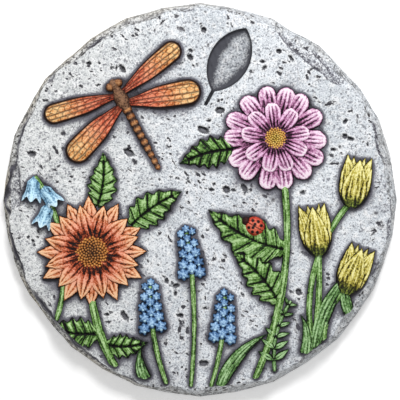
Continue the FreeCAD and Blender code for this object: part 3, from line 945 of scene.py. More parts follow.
# %% Grape hyacinths
IRIS = ((16, 28, 50), (84, 124, 172), (180, 216, 246))
BUD_ROWS = 5
BUD_STEP = 6.4
BUD_ASIDE = 5.2
BUD_RADIUS = 4.1
BUD_HEIGHT = 4.3
BUD_CHANCE = 0.25
LOBE_SWELL = 0.05
MOUTH_AHEAD = 1.7
MOUTH_RADIUS = 1.4
MOUTH_TOP = 4.2
MOUTH_FOOT = 2.0


def buds(places, turns, size):
    """Round buds: domes whose radius and height swell with six lobes, a cosine of the angle round them."""
    x, y, rho = disc_grid(13)
    lobe = np.cos(LOBES * np.arctan2(y, x)) * smooth(0.2, 0.8, rho)
    radius = BUD_RADIUS * size * (1 + LOBE_SWELL * lobe)
    rise = BUD_HEIGHT * size * puff(rho, 2.0) * (1 + LOBE_SWELL * lobe)
    # Painted light as well as dry-brush: a painted highlight on the crown of each bud
    light = 0.1 + 0.62 * puff(rho, 1.8) + 0.2 * lobe + rng.normal(0, 0.05, (len(places), 1, 1))
    return shells(set_out(radius * x, radius * y, rise, turns, places), light=light)


row, side = [a.ravel() for a in np.meshgrid(np.arange(BUD_ROWS), (-1, 0, 1), indexing="ij")]
size = 1 - 0.35 * (1 - row / (BUD_ROWS - 1))
spikes = []
for line, (_, _, length, _) in zip(hyacinth_lines, hyacinths):
    points, turns = on_line(line, BUD_STEP * (row - 0.4 + np.abs(side) / 2) / length)
    places = points + along(turns + 90, side * BUD_ASIDE * size) + rng.normal(0, BUD_CHANCE, points.shape)
    spikes.append(buds(places, turns, size[:, None, None]))
    ahead = places + along(turns, MOUTH_AHEAD * size)
    mouths, shade = domes(ahead, MOUTH_RADIUS * size, MOUTH_TOP * size, base=MOUTH_FOOT, n=7)
    spikes.append(shells(mouths, light=shade + 0.1, blush=1.0))
add_piece("hyacinth_buds", *joined(*spikes), paint("iris_paint", IRIS, second=SKY))

# %% [markdown]
# ## The dragonfly's wings
# A dragonfly's wing is a net: a few long veins and, between them, many small cells. It could be drawn
# vein by vein, but nature's rule is shorter. Seeds are strewn in staggered lanes, and a cell is all that
# lies nearest to its seed, so a vein runs where two seeds are equally far away. The net is raised and
# dark, and the cells between are orange.

# %% Dragonfly wings
WING = ((74, 24, 14), (202, 84, 56), (246, 152, 118))
WING_TIP = ((104, 50, 16), (226, 150, 80), (250, 214, 156))
WING_VEIN = (36, 20, 15)
WING_LENGTH = 50.0
CELL_ROWS = 11
CELL_LANES = 4
VEIN_WIDTH = 0.5
dragonfly_place = spot(128, 47)
dragonfly_heading = 118.0


def vein_net(u, chord, half, width):
    """A wing's net, 1 on a vein: bell curves of the distances to the cells' borders and to three long veins.

    A cell's border is where the nearest and the second nearest seed are equally far, and u and chord are
    weighted so that cells come out a little longer than they are broad.
    """
    lanes = np.meshgrid(np.arange(CELL_ROWS), np.arange(CELL_LANES), indexing="ij")
    step, lane = [a.ravel() for a in lanes]
    seed_u = (step + 0.5 * (lane % 2)) / (CELL_ROWS - 0.5) + rng.normal(0, 0.016, step.size)
    seed_v = -0.75 + 0.46 * lane + rng.normal(0, 0.05, step.size)
    gap_u = 0.75 * WING_LENGTH * (u[..., None] - seed_u)
    gap_v = 0.8 * width / 2 * (chord[..., None] - seed_v)
    first, second = np.moveaxis(np.partition(np.hypot(gap_u, gap_v), 1, axis=-1)[..., :2], -1, 0)
    long_veins = np.stack([0.62 + 0 * u, 0.16 - 0.3 * u, -0.3 - 0.25 * u], axis=-1)
    long_gap = (np.abs(chord[..., None] - long_veins) * half[..., None]).min(axis=-1)
    return np.maximum(0.85 * hump(second - first, VEIN_WIDTH), hump(long_gap, VEIN_WIDTH))


def wing(sweep, seat, width, side):
    """A round-tipped blade with a raised net, a dark border that widens to the tip, and a dark cell there."""
    u, v = blade_grid(170, 57)
    chord = -side * v
    half = width / 2 * round_tip(u, 1 - width / (2 * WING_LENGTH)) * (0.5 + 0.5 * smooth(-0.05, 0.5, u))
    net = vein_net(u, chord, half, width)
    round_gap = width / 2 - np.hypot(WING_LENGTH * (u - 1) + width / 2, half * v)
    edge_gap = np.where(WING_LENGTH * (1 - u) < width / 2, round_gap, half * (1 - np.abs(v)))
    border = 1 - smooth(0.3 + 0.9 * u, 0.9 + 1.1 * u, edge_gap)
    dark_cell = np.exp(-((u - 0.84) / 0.055) ** 4 - ((chord - 0.8) / 0.2) ** 4)
    marks = np.clip(np.maximum(net * 0.9, np.maximum(border, 0.5 * dark_cell)), 0, 1)
    z = 0.5 + 1.6 * puff(v, 4.0) * round_end(u, 0.7, 3) + 0.3 * net
    seated = dragonfly_place + along(dragonfly_heading, seat)
    tops = set_out(WING_LENGTH * u, half * v, z, [dragonfly_heading + side * sweep], seated)
    # Painted shade at the wing's root, and a painted highlight along its middle
    light = 0.5 + 0.2 * puff(v, 2) - 0.25 * (1 - smooth(0, 0.35, u))
    values = strokes(light, WING_LENGTH * u, half * v)
    return shells(tops, marks=marks, blush=smooth(0.3, 0.9, u), **values)


# Sweep from the heading, seat along the body and width of the fore and hind wings
wing_pairs = [(78.0, 4.0, 13.5), (108.0, -2.0, 16.5)]
wings = [wing(*form, side) for form in wing_pairs for side in (-1, 1)]
add_piece("dragonfly_wings", *joined(*wings), paint("wing_paint", WING, second=WING_TIP, marks=WING_VEIN))

# %% [markdown]
# ## The dragonfly's body
# The body is a row of rings behind a stout chest, and a head with two eyes. It could be a chain of
# spheres, but one blade with a girth that changes along it has no seams. The girth is read from a few
# measures, and a cosine cuts the rings.

# %% Dragonfly body
UMBER = ((28, 20, 18), (74, 50, 38), (150, 112, 84))
PALE_UMBER = ((60, 32, 18), (150, 90, 50), (214, 158, 104))
RING_STEP = 4.6
EYE_AHEAD = 11.2
EYE_ASIDE = np.array([-3.0, 3.0])
# Distance along the body from the wings, and half its width there
body_reach = [-50, -48.5, -46, -10, -6, -2, 4, 7.5, 8.5, 10.5, 13, 15]
body_girth = [0.8, 1.7, 2.0, 2.9, 3.2, 4.7, 4.8, 3.0, 2.8, 4.0, 3.6, 1.2]

u, v = blade_grid(160, 21)
reach = body_reach[0] + (body_reach[-1] - body_reach[0]) * u
ring = (0.5 + 0.5 * np.cos(2 * np.pi * reach / RING_STEP)) * (1 - smooth(-8, -5, reach))
girth = np.interp(reach, body_reach, body_girth) * (1 - 0.13 * ring ** 4)
tops = set_out(reach, girth * v, girth * puff(v, 2.0), [dragonfly_heading], dragonfly_place)
# Painted light as well as dry-brush: a highlight along the body, painted shade in the rings' grooves
body = shells(tops, light=0.2 + 0.5 * puff(v, 2) - 0.3 * ring ** 4, blush=(1 - ring) ** 2 * (reach < -6))
eye_places = dragonfly_place + along(dragonfly_heading, EYE_AHEAD) + along(dragonfly_heading + 90, EYE_ASIDE)
eyes, shine = domes(eye_places, radius=2.9, height=4.4, n=13)
umber_paint = paint("umber_paint", UMBER, second=PALE_UMBER, gloss=0.5)
add_piece("dragonfly_body", *joined(body, shells(eyes, light=shine * 0.8, blush=0.6)), umber_paint)

# %% [markdown]
# ## The ladybird
# It is a dome with a seam down its back, round spots on both wing cases, and a small dark head. The spots
# could be pieces of their own, but on the stone they are paint, so they are marks: all that lies near a
# spot's middle.

# %% Ladybird
SCARLET = ((96, 20, 14), (196, 62, 42), (240, 132, 104))
SPOT_BLACK = (26, 20, 20)
CASE_LENGTH = 6.6
CASE_WIDTH = 6.2
CASE_HEIGHT = 6.1
HEAD_AHEAD = 6.4
ladybird_place = spot(334, 88)
ladybird_heading = 150.0
# Places of the spots on one wing case, in shares of its length and width
spots = [(0.45, 0.42), (-0.05, 0.6), (-0.5, 0.4), (0.1, 0.2)]

x, y, rho = disc_grid(45)
seam = hump(y * CASE_LENGTH, 0.35)
gap = np.min([np.hypot(x - a, np.abs(y) - b) for a, b in spots], axis=0)
rise = CASE_HEIGHT * puff(rho, 2.2) - 0.4 * seam
case = set_out(CASE_LENGTH * x, CASE_WIDTH * y, rise, [ladybird_heading], ladybird_place)
# Painted light as well as dry-brush: the crown of the wing cases painted lighter than their edge
case = shells(case, light=0.2 + 0.6 * puff(rho, 2), marks=np.maximum(1 - smooth(0.14, 0.2, gap), seam))
head_place = ladybird_place + along(ladybird_heading, HEAD_AHEAD)
head, shade = domes(head_place[None], radius=3.2, height=4.9, n=17)
head = shells(head, light=shade * 0.6, marks=0.95)
add_piece("ladybird", *joined(case, head), paint("scarlet_paint", SCARLET, marks=SPOT_BLACK, gloss=0.45))

# %% [markdown]
# ## Where the picture stands
# Thin black wash was brushed over the whole casting and wiped off again. It stays in the corner round
# every raised form, as a smoky halo that also paints the shade in that corner. An ambient occlusion node
# could find those corners, but it slows the render. Instead all blades are drawn from above on a fine grid
# of cells, and that drawing is blurred: close to a form the blurred value is high, and it fades within a few
# millimetres. The halo is moved a little down the stone, so that it is also a painted shadow below each form.

# %% Drawing of the picture from above
CELL = 0.5
SPAN = 140.0
bins = np.arange(-SPAN, SPAN + CELL / 2, CELL)
drawn = np.concatenate(footprint)
covered = np.histogram2d(drawn[:, 0], drawn[:, 1], bins=(bins, bins))[0] > 0


def blurred(picture, width):
    """A picture blurred by a bell curve of a width in millimetres: a product of Fourier transforms."""
    wave = np.fft.fftfreq(len(picture), CELL)
    fade = np.exp(-2 * (np.pi * width * wave) ** 2)
    return np.fft.ifft2(np.fft.fft2(picture) * fade[:, None] * fade).real


forms = blurred(covered, 0.7) > 0.2
near = blurred(forms, 0.9)
# A tight and a wide halo of wash and painted shadow: blur, value at which each starts, and cells by which it
# lies below its form as painted shadow
halo_and_shadow_blurs = [(1.7, 0.05, 1), (4.2, 0.0, 3)]
halo_and_shadow = sum(0.5 * smooth(start, 0.5, np.roll(blurred(forms, width), -below, axis=1))
           for width, start, below in halo_and_shadow_blurs)
share = forms.sum() * CELL ** 2 / (np.pi * STONE_RADIUS ** 2)
print("the picture covers", round(100 * share), "% of the stone")

# %% [markdown]
# ## Clouds for a broken surface
# No part of a casting is quite even. A Displace modifier with a noise texture could roughen it, but the
# paint could not read the same noise. Random pictures, blurred to features of a known width, serve for
# heights, for the broken rim and for the wash alike.

# %% Clouds
def sample(picture, x, y):
    """A picture's value at any place, shared between its four nearest cells; it repeats beyond its edge."""
    east = (x + SPAN) / CELL - 0.5
    north = (y + SPAN) / CELL - 0.5
    i = np.floor(east).astype(int)
    j = np.floor(north).astype(int)
    s, t, size = east - i, north - j, len(picture)
    low = picture[i % size, j % size] * (1 - s) + picture[(i + 1) % size, j % size] * s
    high = picture[i % size, (j + 1) % size] * (1 - s) + picture[(i + 1) % size, (j + 1) % size] * s
    return low * (1 - t) + high * t


def cloud(width):
    """A random picture with soft features about width millimetres across, mostly between -1 and 1."""
    picture = blurred(rng.normal(size=covered.shape), width)
    return picture / (2 * picture.std())


swell, ripple, crumble, chip = [cloud(width) for width in (9.0, 2.6, 1.3, 5.0)]
print("the widest cloud runs from", swell.min().round(2), "to", swell.max().round(2))

# %% [markdown]
# ## The slab's outline
# The solid already holds the hewn outline as a many-sided ring on the ground. It is read back from the
# mesh rather than typed again, so slab and solid can't drift apart. A ray from the centre is crossed
# with the side it meets.

# %% Outline
ON_THE_GROUND = 0.01
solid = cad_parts["stepping_stone"].data
corners = np.empty(3 * len(solid.vertices))
solid.vertices.foreach_get("co", corners)
corners = corners.reshape(-1, 3) / MM
at_rim = np.hypot(corners[:, 0], corners[:, 1]) > 0.9 * STONE_RADIUS
corners = np.unique(corners[(corners[:, 2] < ON_THE_GROUND) & at_rim, :2].round(3), axis=0)
corners = corners[np.argsort(np.arctan2(corners[:, 1], corners[:, 0]))]
corner_angle = np.arctan2(corners[:, 1], corners[:, 0])


def outline_radius(angle):
    """Distance from the centre to the outline's side at an angle: cross(corner, side) / cross(ray, side)."""
    k = np.searchsorted(corner_angle, angle) % len(corners)
    corner = corners[k - 1]
    side = corners[k] - corner
    ray_cross = np.cos(angle) * side[..., 1] - np.sin(angle) * side[..., 0]
    return (corner[..., 0] * side[..., 1] - corner[..., 1] * side[..., 0]) / ray_cross


corner_radius = np.hypot(*corners.T)
print(len(corners), "corners, radius", corner_radius.min().round(1), "to", corner_radius.max().round(1))

# %% [markdown]
# ## The leaf print
# A leaf was pressed into the face while it was wet. A Boolean cut would need a cutter and leave long thin
# faces, so the print is part of the face's height. Whether a point lies in it follows from a signed
# distance: below zero inside, above zero outside. A lens is what two equal circles share, so its distance
# is simple.

# %% Leaf print
PRINT_LENGTH = 46.0
PRINT_WIDTH = 26.0
PRINT_DEPTH = 3.0
STEM_LENGTH = 12.0
STEM_WIDTH = 2.4
STEM_BEYOND = 4.0
print_centre = spot(78, 36)
print_bearing = 62.0


def print_place(x, y):
    """Place in the leaf print: along its midrib from its centre, and across it."""
    return seen_along(x - print_centre[0], y - print_centre[1], print_bearing)


def print_distance(x, y):
    """Signed distance to the print: a lens between two circles, joined with a stem that is a thin box."""
    s, t = print_place(x, y)
    bend = (PRINT_LENGTH ** 2 / 4 + PRINT_WIDTH ** 2 / 4) / PRINT_WIDTH
    lens = np.hypot(s, np.abs(t) + bend - PRINT_WIDTH / 2) - bend
    stem_end = np.abs(s + PRINT_LENGTH / 2 + STEM_BEYOND) - STEM_LENGTH / 2
    return np.minimum(lens, np.maximum(stem_end, np.abs(t) - STEM_WIDTH / 2))


print("distance from the stone's centre to the print:", print_distance(0.0, 0.0).round(1), "mm")

# %% [markdown]
# ## Pits
# Air that was caught against the mould left pits in the face, in loose strings: many specks and a few
# larger holes. Pits in the material alone would look flat from the side, so each is a small dish in the
# mesh, with a drawn-out, ragged edge. Strings start at random places, and a pit that would touch the
# picture, the print or the rim is left out. The distance to the nearest pit's edge gives both the dish
# and its colour.

# %% Pits
PIT_STRINGS = 64
PITS_EACH = 6
PIT_STEP = 4.6
PIT_DEPTH = 2.4
PIT_FIELD = 112.0
PIT_LEAST = 0.4
PIT_MOST = 2.0
STRETCH_LEAST = 1.2
STRETCH_MOST = 2.4
NO_PIT = 9.0
# Room that a pit leaves to the raised forms, the print and the picture's edge
FORM_ROOM = 2.2
PRINT_ROOM = 4.5
EDGE_ROOM = 5.0
# The most that the drawing, blurred by the room to the forms, may show where a pit lies
HARDLY_ANY = 0.04
pit_rng = np.random.default_rng(7)
string_start = pit_rng.uniform(-PIT_FIELD, PIT_FIELD, (PIT_STRINGS, 1, 2))
string_bearing = pit_rng.normal(140.0, 25.0, (PIT_STRINGS, 1)) + 9 * np.arange(PITS_EACH)
pit_places = string_start + along(string_bearing, PIT_STEP * np.arange(PITS_EACH))
pit_places = (pit_places + pit_rng.normal(0, 1.5, pit_places.shape)).reshape(-1, 2)
pit_bearings = string_bearing.ravel() + pit_rng.normal(0, 20.0, len(pit_places))
pit_sizes = PIT_LEAST + (PIT_MOST - PIT_LEAST) * pit_rng.uniform(size=len(pit_places)) ** 4.0
pit_stretch = pit_rng.uniform(size=len(pit_places)) ** 2.0
pit_stretch = STRETCH_LEAST + (STRETCH_MOST - STRETCH_LEAST) * pit_stretch
bare = sample(blurred(forms, FORM_ROOM), *pit_places.T) < HARDLY_ANY
bare &= print_distance(*pit_places.T) > PRINT_ROOM
bare &= np.hypot(*pit_places.T) < PICTURE_RADIUS - EDGE_ROOM
pits = np.column_stack([pit_places, pit_bearings, pit_sizes, pit_stretch])[bare]


def pit_distance(x, y):
    """Signed distance to the nearest pit's edge, an ellipse made ragged by noise; below zero inside."""
    gap = np.full(np.shape(x), NO_PIT)
    for east, north, bearing, size, stretch in pits:
        s, t = seen_along(x - east, y - north, bearing)
        gap = np.minimum(gap, np.hypot(s / stretch, t) - size)
    return gap + 0.5 * sample(crumble, x, y)


print(len(pits), "pits, from", pits[:, 3].min().round(1), "to", pits[:, 3].max().round(1), "mm in half width")

# %% [markdown]
# ## The broken edge
# Flakes have come off the edge of the face and left ledges, each with a rough step and a floor that falls
# outwards. They could be cut away one by one, but a ledge is also just a drop that depends on x and y.
# Clouds fray its step, and the step and the gouge behind it are darkened as painted shade.

# %% Ledges
LEDGE_FALL = np.tan(np.radians(7))
# Bearing, length along the rim, inset and drop of each ledge
rim_ledges = [(53, 62.0, 17.0, 1.6), (47, 34.0, 10.0, 3.2), (176, 34.0, 13.0, 2.8), (216, 46.0, 6.5, 2.6),
              (141, 15.0, 7.5, 2.4), (95, 22.0, 6.5, 1.8), (331, 24.0, 6.0, 1.8), (17, 38.0, 8.5, 1.1),
              (351, 20.0, 8.0, 1.0)]


def ledge_drop(x, y):
    """How far ledges lower the face, and the painted shade in their steps; the deepest ledge at a point
    counts.

    s is the distance outwards from a ledge's frayed step. The drop sets in over a millimetre of s, is deepest
    in a gouge behind the step, and falls on by 7 degrees.
    """
    low, step = np.zeros_like(x), np.zeros_like(x)
    for bearing, length, inset, drop in rim_ledges:
        s, t = seen_along(x, y, bearing)
        s = s - (STONE_RADIUS - inset) - 0.3 * inset * (2 * t / length) ** 2
        s = s + 2.2 * sample(chip, x, y) + 0.8 * sample(ripple, x, y) + 0.4 * sample(crumble, x, y)
        ends = 1 - smooth(-6.0, 1.5, np.abs(t) - length / 2 + 1.8 * sample(chip, y, x))
        gouge = np.exp(-np.maximum(s, 0) / 5.0)
        fall = drop * (0.8 + 0.5 * gouge) + LEDGE_FALL * np.maximum(s, 0) + 0.35 * sample(ripple, y, x)
        low = np.maximum(low, smooth(0.0, 1.0, s) * ends * fall)
        # Painted shade in the step, darkest in the gouge behind it
        step = np.maximum(step, smooth(-0.3, 0.5, s) * ends * (0.3 + 0.87 * gouge ** 1.3))
    return low, step


print("drop at bearing 47, 5 mm in from the rim:", ledge_drop(*spot(47, 5.0)[:, None])[0].round(2), "mm")

# %% [markdown]
# ## The height of the face
# The face is nearly flat with a slow swell, and it rises a little to meet each raised form, as a poured
# skin does. It could be sculpted, but ledges, pits and print are all heights that depend on x and y
# alone. So the whole face is one height map, and nothing has to be cut or joined.

# %% Height of the face
SWELL_RISE = 0.45
RIPPLE_RISE = 0.24
CRUMBLE_RISE = 0.08
VEIN_STEP = 6.0
VEIN_RISE = 0.7
BANK_RISE = 0.35
SKIN_CLIMB = 0.35


def face_height(x, y):
    """Height of the face in millimetres, the painted shade of a ledge's step, and distances to print and
    pits.

    Three clouds, less the ledges, the pits' dishes and the print, whose veins stand up from its floor. A low
    bank runs round the print, and the skin climbs a little where a form is near.
    """
    z = SWELL_RISE * sample(swell, x, y) + RIPPLE_RISE * sample(ripple, x, y)
    z = z + CRUMBLE_RISE * sample(crumble, x, y)
    low, step = ledge_drop(x, y)
    pit = pit_distance(x, y)
    z = z - low - PIT_DEPTH * smooth(-0.3, 1.3, -pit)
    d = print_distance(x, y)
    s, t = print_place(x, y)
    slant = np.abs((s - 0.9 * np.abs(t)) % VEIN_STEP - VEIN_STEP / 2)
    veins = np.maximum(hump(t, 0.7), hump(slant, 0.6)) * smooth(0.5, 2.5, -d)
    pressed = smooth(-0.1, 1.5, -d)
    sunk = PRINT_DEPTH - VEIN_RISE * veins - 0.25 * sample(crumble, y, x)
    z = z - pressed * sunk + BANK_RISE * hump(d - 1.3, 1.0)
    return z + SKIN_CLIMB * np.clip(sample(near, x, y), 0, 1) * (1 - pressed), step, d, pit


print("print floor at", face_height(*print_centre[:, None])[0].round(2), "mm")

# %% [markdown]
# ## The face as a grid
# A round face could be a fan of rings, but its faces would crowd together at the pole. A square grid bent
# into a disc has none. Its border follows the hewn outline at an inset that wanders, where the broken
# shoulder begins.

# %% Face grid
SIDE = 281
INSET = 5.6
INSET_LEAST = 3.0
INSET_MOST = 7.2
NUDGE = 0.05
SNAP = 0.5
x, y, rho = disc_grid(SIDE, even=True)
angle = np.arctan2(y, x)
edge = outline_radius(angle)
edge_x, edge_y = edge * np.cos(angle), edge * np.sin(angle)
inset = INSET + 1.3 * np.sin(7 * angle)
inset = inset + 1.6 * sample(chip, edge_x, edge_y) + 0.5 * sample(crumble, edge_x, edge_y)
reach = rho * (edge - np.clip(inset, INSET_LEAST, INSET_MOST))
east, north = reach * np.cos(angle), reach * np.sin(angle)
# Grid points close to the print's edge move onto it, so that the edge runs clean between the squares
d = print_distance(east, north)
slope_east = (print_distance(east + NUDGE, north) - d) / NUDGE
slope_north = (print_distance(east, north + NUDGE) - d) / NUDGE
pull = np.where(np.abs(d) < SNAP, d, 0)
east, north = east - pull * slope_east, north - pull * slope_north
z, step, d, pit = face_height(east, north)
z = z - 0.9 * smooth(0.955, 1.0, rho) ** 2
print("face", z.min().round(2), "to", z.max().round(2), "mm")

# %% [markdown]
# ## The hewn rim
# From the border of the face, rows of points go down the hewn shoulder and the drafted wall to the
# ground. A bevel would be too regular for a stone that looks broken by hand, so clouds bite into each
# row. They only ever pull the rim inwards, so the stone keeps its measured width.

# %% Rim
WALL_TOP = -7.0
DRAFT = 1.6
FOOT_BEVEL = 0.7
DEEPEST_BITE = 2.6
# Share of the way from face edge to wall top, then height below the face, for each row of the rim
shoulder = np.array([0.12, 0.3, 0.5, 0.7, 0.88])[:, None]
wall = np.array([WALL_TOP, -9.5, -12.0, -14.5, -16.6, -17.5, -FACE])[:, None]

face_quads, border = grid_faces(SIDE, SIDE)
turn, rim, start_z, start_r = [a.ravel()[border] for a in (angle, edge, z, np.hypot(east, north))]
wall_r = rim - DRAFT * (wall + FACE) / (WALL_TOP + FACE) - FOOT_BEVEL * (wall == -FACE)
shoulder_z = start_z + (WALL_TOP - start_z) * shoulder ** 1.25
row_z = np.concatenate([shoulder_z, np.broadcast_to(wall, wall_r.shape)])
row_r = np.concatenate([start_r + (wall_r[0] - start_r) * shoulder, wall_r])
row_x, row_y = row_r * np.cos(turn), row_r * np.sin(turn)
# The clouds are read at a slant, so that bites don't run straight down the wall
slant_x, slant_y = row_x + 2.2 * row_z, row_y - 1.7 * row_z
bite = 1.1 * (1 + sample(chip, slant_x, slant_y)) + 0.7 * np.abs(sample(ripple, slant_x, slant_y)) - 0.9
nibble = np.clip(0.5 * sample(chip, row_x, row_y) + 0.5 * sample(crumble, 3 * turn, row_z), 0, 1)
bite = np.maximum(np.clip(bite, 0, DEEPEST_BITE) * smooth(-FACE, -14.0, row_z), nibble)
row_r = row_r - bite * smooth(0.0, 1.5, start_z - row_z)
print("deepest bite of the rim", bite.max().round(2), "mm")

# %% [markdown]
# ## The slab as one skin
# Face, rim and underside could be three meshes, but a slab that is one closed skin has no gap to hide.
# The face's squares come first, then the bands of the rim, and a fan about the middle of the underside
# closes it.

# %% Skin
face_points = np.stack([east, north, z], axis=-1).reshape(-1, 3)
rim_points = np.stack([row_r * np.cos(turn), row_r * np.sin(turn), row_z], axis=-1).reshape(-1, 3)
slab_points = np.concatenate([face_points, rim_points, [[0.0, 0.0, -FACE]]])
ring = np.concatenate([border[None], len(face_points) + np.arange(len(rim_points)).reshape(row_z.shape)])
after = np.roll(ring, -1, axis=1)
bands = np.stack([ring[1:], after[1:], after[:-1], ring[:-1]], axis=-1).reshape(-1, 4)
slab_quads = np.concatenate([face_quads, bands])
underside = np.stack([np.full(len(border), len(slab_points) - 1), after[-1], ring[-1]], axis=-1)
print("the slab has", len(face_quads), "squares on its face and", len(bands), "on its rim")

# %% [markdown]
# ## What the cement has to know
# The wash gathers near forms, in the crack where face and shoulder part, and in stains below it. Near forms
# it is also a painted shadow, and the dents of the face are darkened as painted shade. A painted shadow lies
# under the upper lip of a pit. A material can't see any of this from a point alone, so it is worked out
# here and goes along as attributes.

# %% Values on the slab
# How far the pits are moved down to find their painted shadows
LIP_SHIFT = 1.1
FAR_FROM_PRINT = 15.0
FAR_FROM_PIT = 4.0
RIM_FADE = 9.0


def over_slab(on_face, on_rim, below):
    """One value per point of the slab: the face's grid, the rim's rows, and the middle of the underside."""
    return np.concatenate([on_face.ravel(), np.broadcast_to(on_rim, row_z.shape).ravel(), [below]])


def far_at_rim(distance, limit):
    """A distance on the face kept within a limit, which is also its value on the rim."""
    return over_slab(np.clip(distance, -limit, limit), limit, limit)


# The crack is deepest on the broken left and lower left
lap = turn / np.pi * 2 * SPAN
depth = np.clip(start_z - row_z, 0, FACE)
broken = 0.3 + 0.7 * hump(np.degrees(turn) % 360 - 205, 45)
split = smooth(-0.15, 0.6, broken - 0.62 + 0.75 * sample(chip, lap, 20.0 + 0 * lap))
crack_line = hump(depth - 1.9 - 1.4 * sample(ripple, lap, 40.0 + 0 * lap), 1.7)
stain = smooth(0.1, 0.8, sample(ripple, lap, 4 * depth)) * (1 - smooth(5.0, 10.0, depth))
crevice = np.maximum(1.6 * split * crack_line, 0.45 * np.maximum(stain, smooth(0.8, 1.6, bite)))
# Wash near the forms, which is also painted shade and, below them, painted shadow
wash = sample(halo_and_shadow, east, north) + 0.3 * smooth(0.1, 0.5, sample(near, east, north))
# Painted shade in the dents of the face's swell and ripple
wash = wash + 0.26 * smooth(0.1, 0.9, -sample(swell, east, north))
wash = wash + 0.2 * smooth(0.2, 0.9, -sample(ripple, east, north))
slab_values = {
    "wash": over_slab(wash, crevice, 0.0),
    "ledge": over_slab(step, 0.0, 0.0),
    "rim": over_slab(0 * z, np.clip(-row_z / RIM_FADE, 0, 1), 1.0),
    "print": far_at_rim(d, FAR_FROM_PRINT),
    "pit": far_at_rim(pit, FAR_FROM_PIT),
    # Painted shadow under each pit's upper lip: a copy of the pits moved down doesn't reach under their upper
    # lips
    "lee": far_at_rim(pit_distance(east, north + LIP_SHIFT), FAR_FROM_PIT),
}
print("mean wash on the face", wash.mean().round(2), "and on the rim", crevice.mean().round(2))

# %% [markdown]
# ## Cement
# Cast cement is pale and matt. Seen close it holds white and dark grains, sharp dark sand, and soft
# cloudy patches. Where the mottle that raises the bump is high the cement is painted paler, a painted
# highlight, and where it is low it is painted darker, painted shade. A photograph of concrete could be
# wrapped round it, but it would stretch on the rim and repeat. Noise in millimetres gives each grain its
# true size everywhere. The left of the stone is tinted a little warmer.

# %% Cement body
CEMENT_LOW = (206, 213, 219)
CEMENT_HIGH = (231, 236, 241)
LEFT_TINT = (212, 209, 196)
CLOUD_AND_SHADE = (176, 178, 188)
CHALK_AND_HIGHLIGHT = (252, 252, 253)
DARK_GRAIN = (114, 117, 127)
PALE_GRAIN = (251, 252, 253)
SAND = (92, 92, 102)
cement = Coats("cast_cement")
here = cement.place()
patch = cement.noise(here, scale=0.035, detail=3)
mottle = cement.noise(here, scale=0.24, detail=4, rough=0.6)
grit = cement.noise(here, scale=0.95, detail=3, rough=0.75)
sand = cement.axis(cement.add("ShaderNodeTexVoronoi", "Color", {"Vector": here, "Scale": 0.9}), "X")
left_side = cement.between(cement.axis(here, "X"), -120.0, 60.0, 1.0, 0.25)
cement.colour = cement.ramp(patch, [(0.3, CEMENT_LOW), (0.7, CEMENT_HIGH)])
cement.tint(cement.rising(left_side, 0.4, 1.0, full=0.4), LEFT_TINT)
# Painted shade in the low mottle and a painted highlight on the high mottle, which the bump raises
cement.tint(cement.fading(mottle, 0.3, 0.5, full=0.4), CLOUD_AND_SHADE)
cement.tint(cement.rising(mottle, 0.5, 0.68, full=0.7), CHALK_AND_HIGHLIGHT)
cement.tint(cement.fading(grit, 0.34, 0.5, full=0.85), DARK_GRAIN)
cement.tint(cement.rising(grit, 0.53, 0.63, full=0.7), PALE_GRAIN)
cement.tint(cement.fading(sand, 0.07, 0.11, full=0.65), SAND)
print("nodes so far:", len(cement.tree.nodes))

# %% [markdown]
# ## Pores
# Between the pits lie pores too fine for the mesh, drawn out along the way the cement was poured. They
# could be dots strewn at random, but real pores follow the flow. They are the cells of a stretched
# Voronoi pattern on places that noise has pushed about: the distance to a cell's middle gives a pore and
# a painted highlight on its lip. Pores come in patches and chains, few of them on the rim and none by the
# print.

# %% Pores
PORE_TURN = np.radians(32.0)
PORE_STRETCH = 1.7
flow = here
# Scale, detail and reach of each push
for scale, detail, reach in ((0.03, 1.0, 26.0), (0.7, 2.0, 2.4)):
    push = cement.noise(here, scale, detail, out="Color")
    push = cement.add("ShaderNodeVectorMath", 0, {0: push, 1: (reach, reach, 0.0)}, operation="MULTIPLY")
    flow = cement.add("ShaderNodeVectorMath", 0, {0: flow, 1: push}, operation="ADD")
lie = cement.add("ShaderNodeMapping", "Vector", {"Vector": flow, "Rotation": (0, 0, PORE_TURN)})
lie = cement.add("ShaderNodeMapping", "Vector", {"Vector": lie, "Scale": (1 / PORE_STRETCH, 1.0, 1.0)})
pore_gap = cement.add("ShaderNodeTexVoronoi", "Distance", {"Vector": lie, "Scale": 0.29})
pore_gap = cement.times(pore_gap, cement.between(cement.noise(flow, 0.3, 2), 0.3, 0.7, 0.55, 1.7))
to_print = cement.value("print")
down_rim = cement.value("rim")
spared = cement.plus(cement.fading(to_print, 0.5, 2.5), cement.times(down_rim, 0.5))
chains = cement.fading(cement.off(cement.noise(here, 0.03, 1), 0.5), 0.025, 0.05)
patches = cement.rising(cement.noise(flow, 0.05, 2), 0.52, 0.6)
porous = cement.times(cement.most(patches, chains), cement.fading(spared, 0.1, 0.7))
pore = cement.times(cement.fading(pore_gap, 0.14, 0.31), porous)
pore_highlight = cement.times(cement.fading(pore_gap, 0.3, 0.5), porous)
print("nodes so far:", len(cement.tree.nodes))

# %% [markdown]
# ## The colour of pores and pits
# Wash and painted shade darken every hole, and its lip has a pale painted highlight. One dark tint could
# serve for all, but then pits look like printed dots. So a pit's floor is a mid grey, and only the part
# under its upper lip, where a painted shadow lies, is nearly black. Grit frays the edge of each dish.

# %% Colour of the pits
HIGHLIGHT_WHITE = (255, 255, 255)
PORE_GREY = (76, 75, 84)
PIT_GREY = (122, 121, 130)
HOLE_WASH_AND_SHADE = (44, 43, 49)
PIT_SHADOW_BLACK = (26, 25, 29)
dish = cement.plus(cement.value("pit"), cement.swing(grit, 2.4))
lip = cement.most(pore_highlight, cement.fading(cement.off(dish, 0.55), 0.2, 0.5))
# Painted highlight on the lip of each pit and pore
cement.tint(cement.times(lip, 0.45), HIGHLIGHT_WHITE)
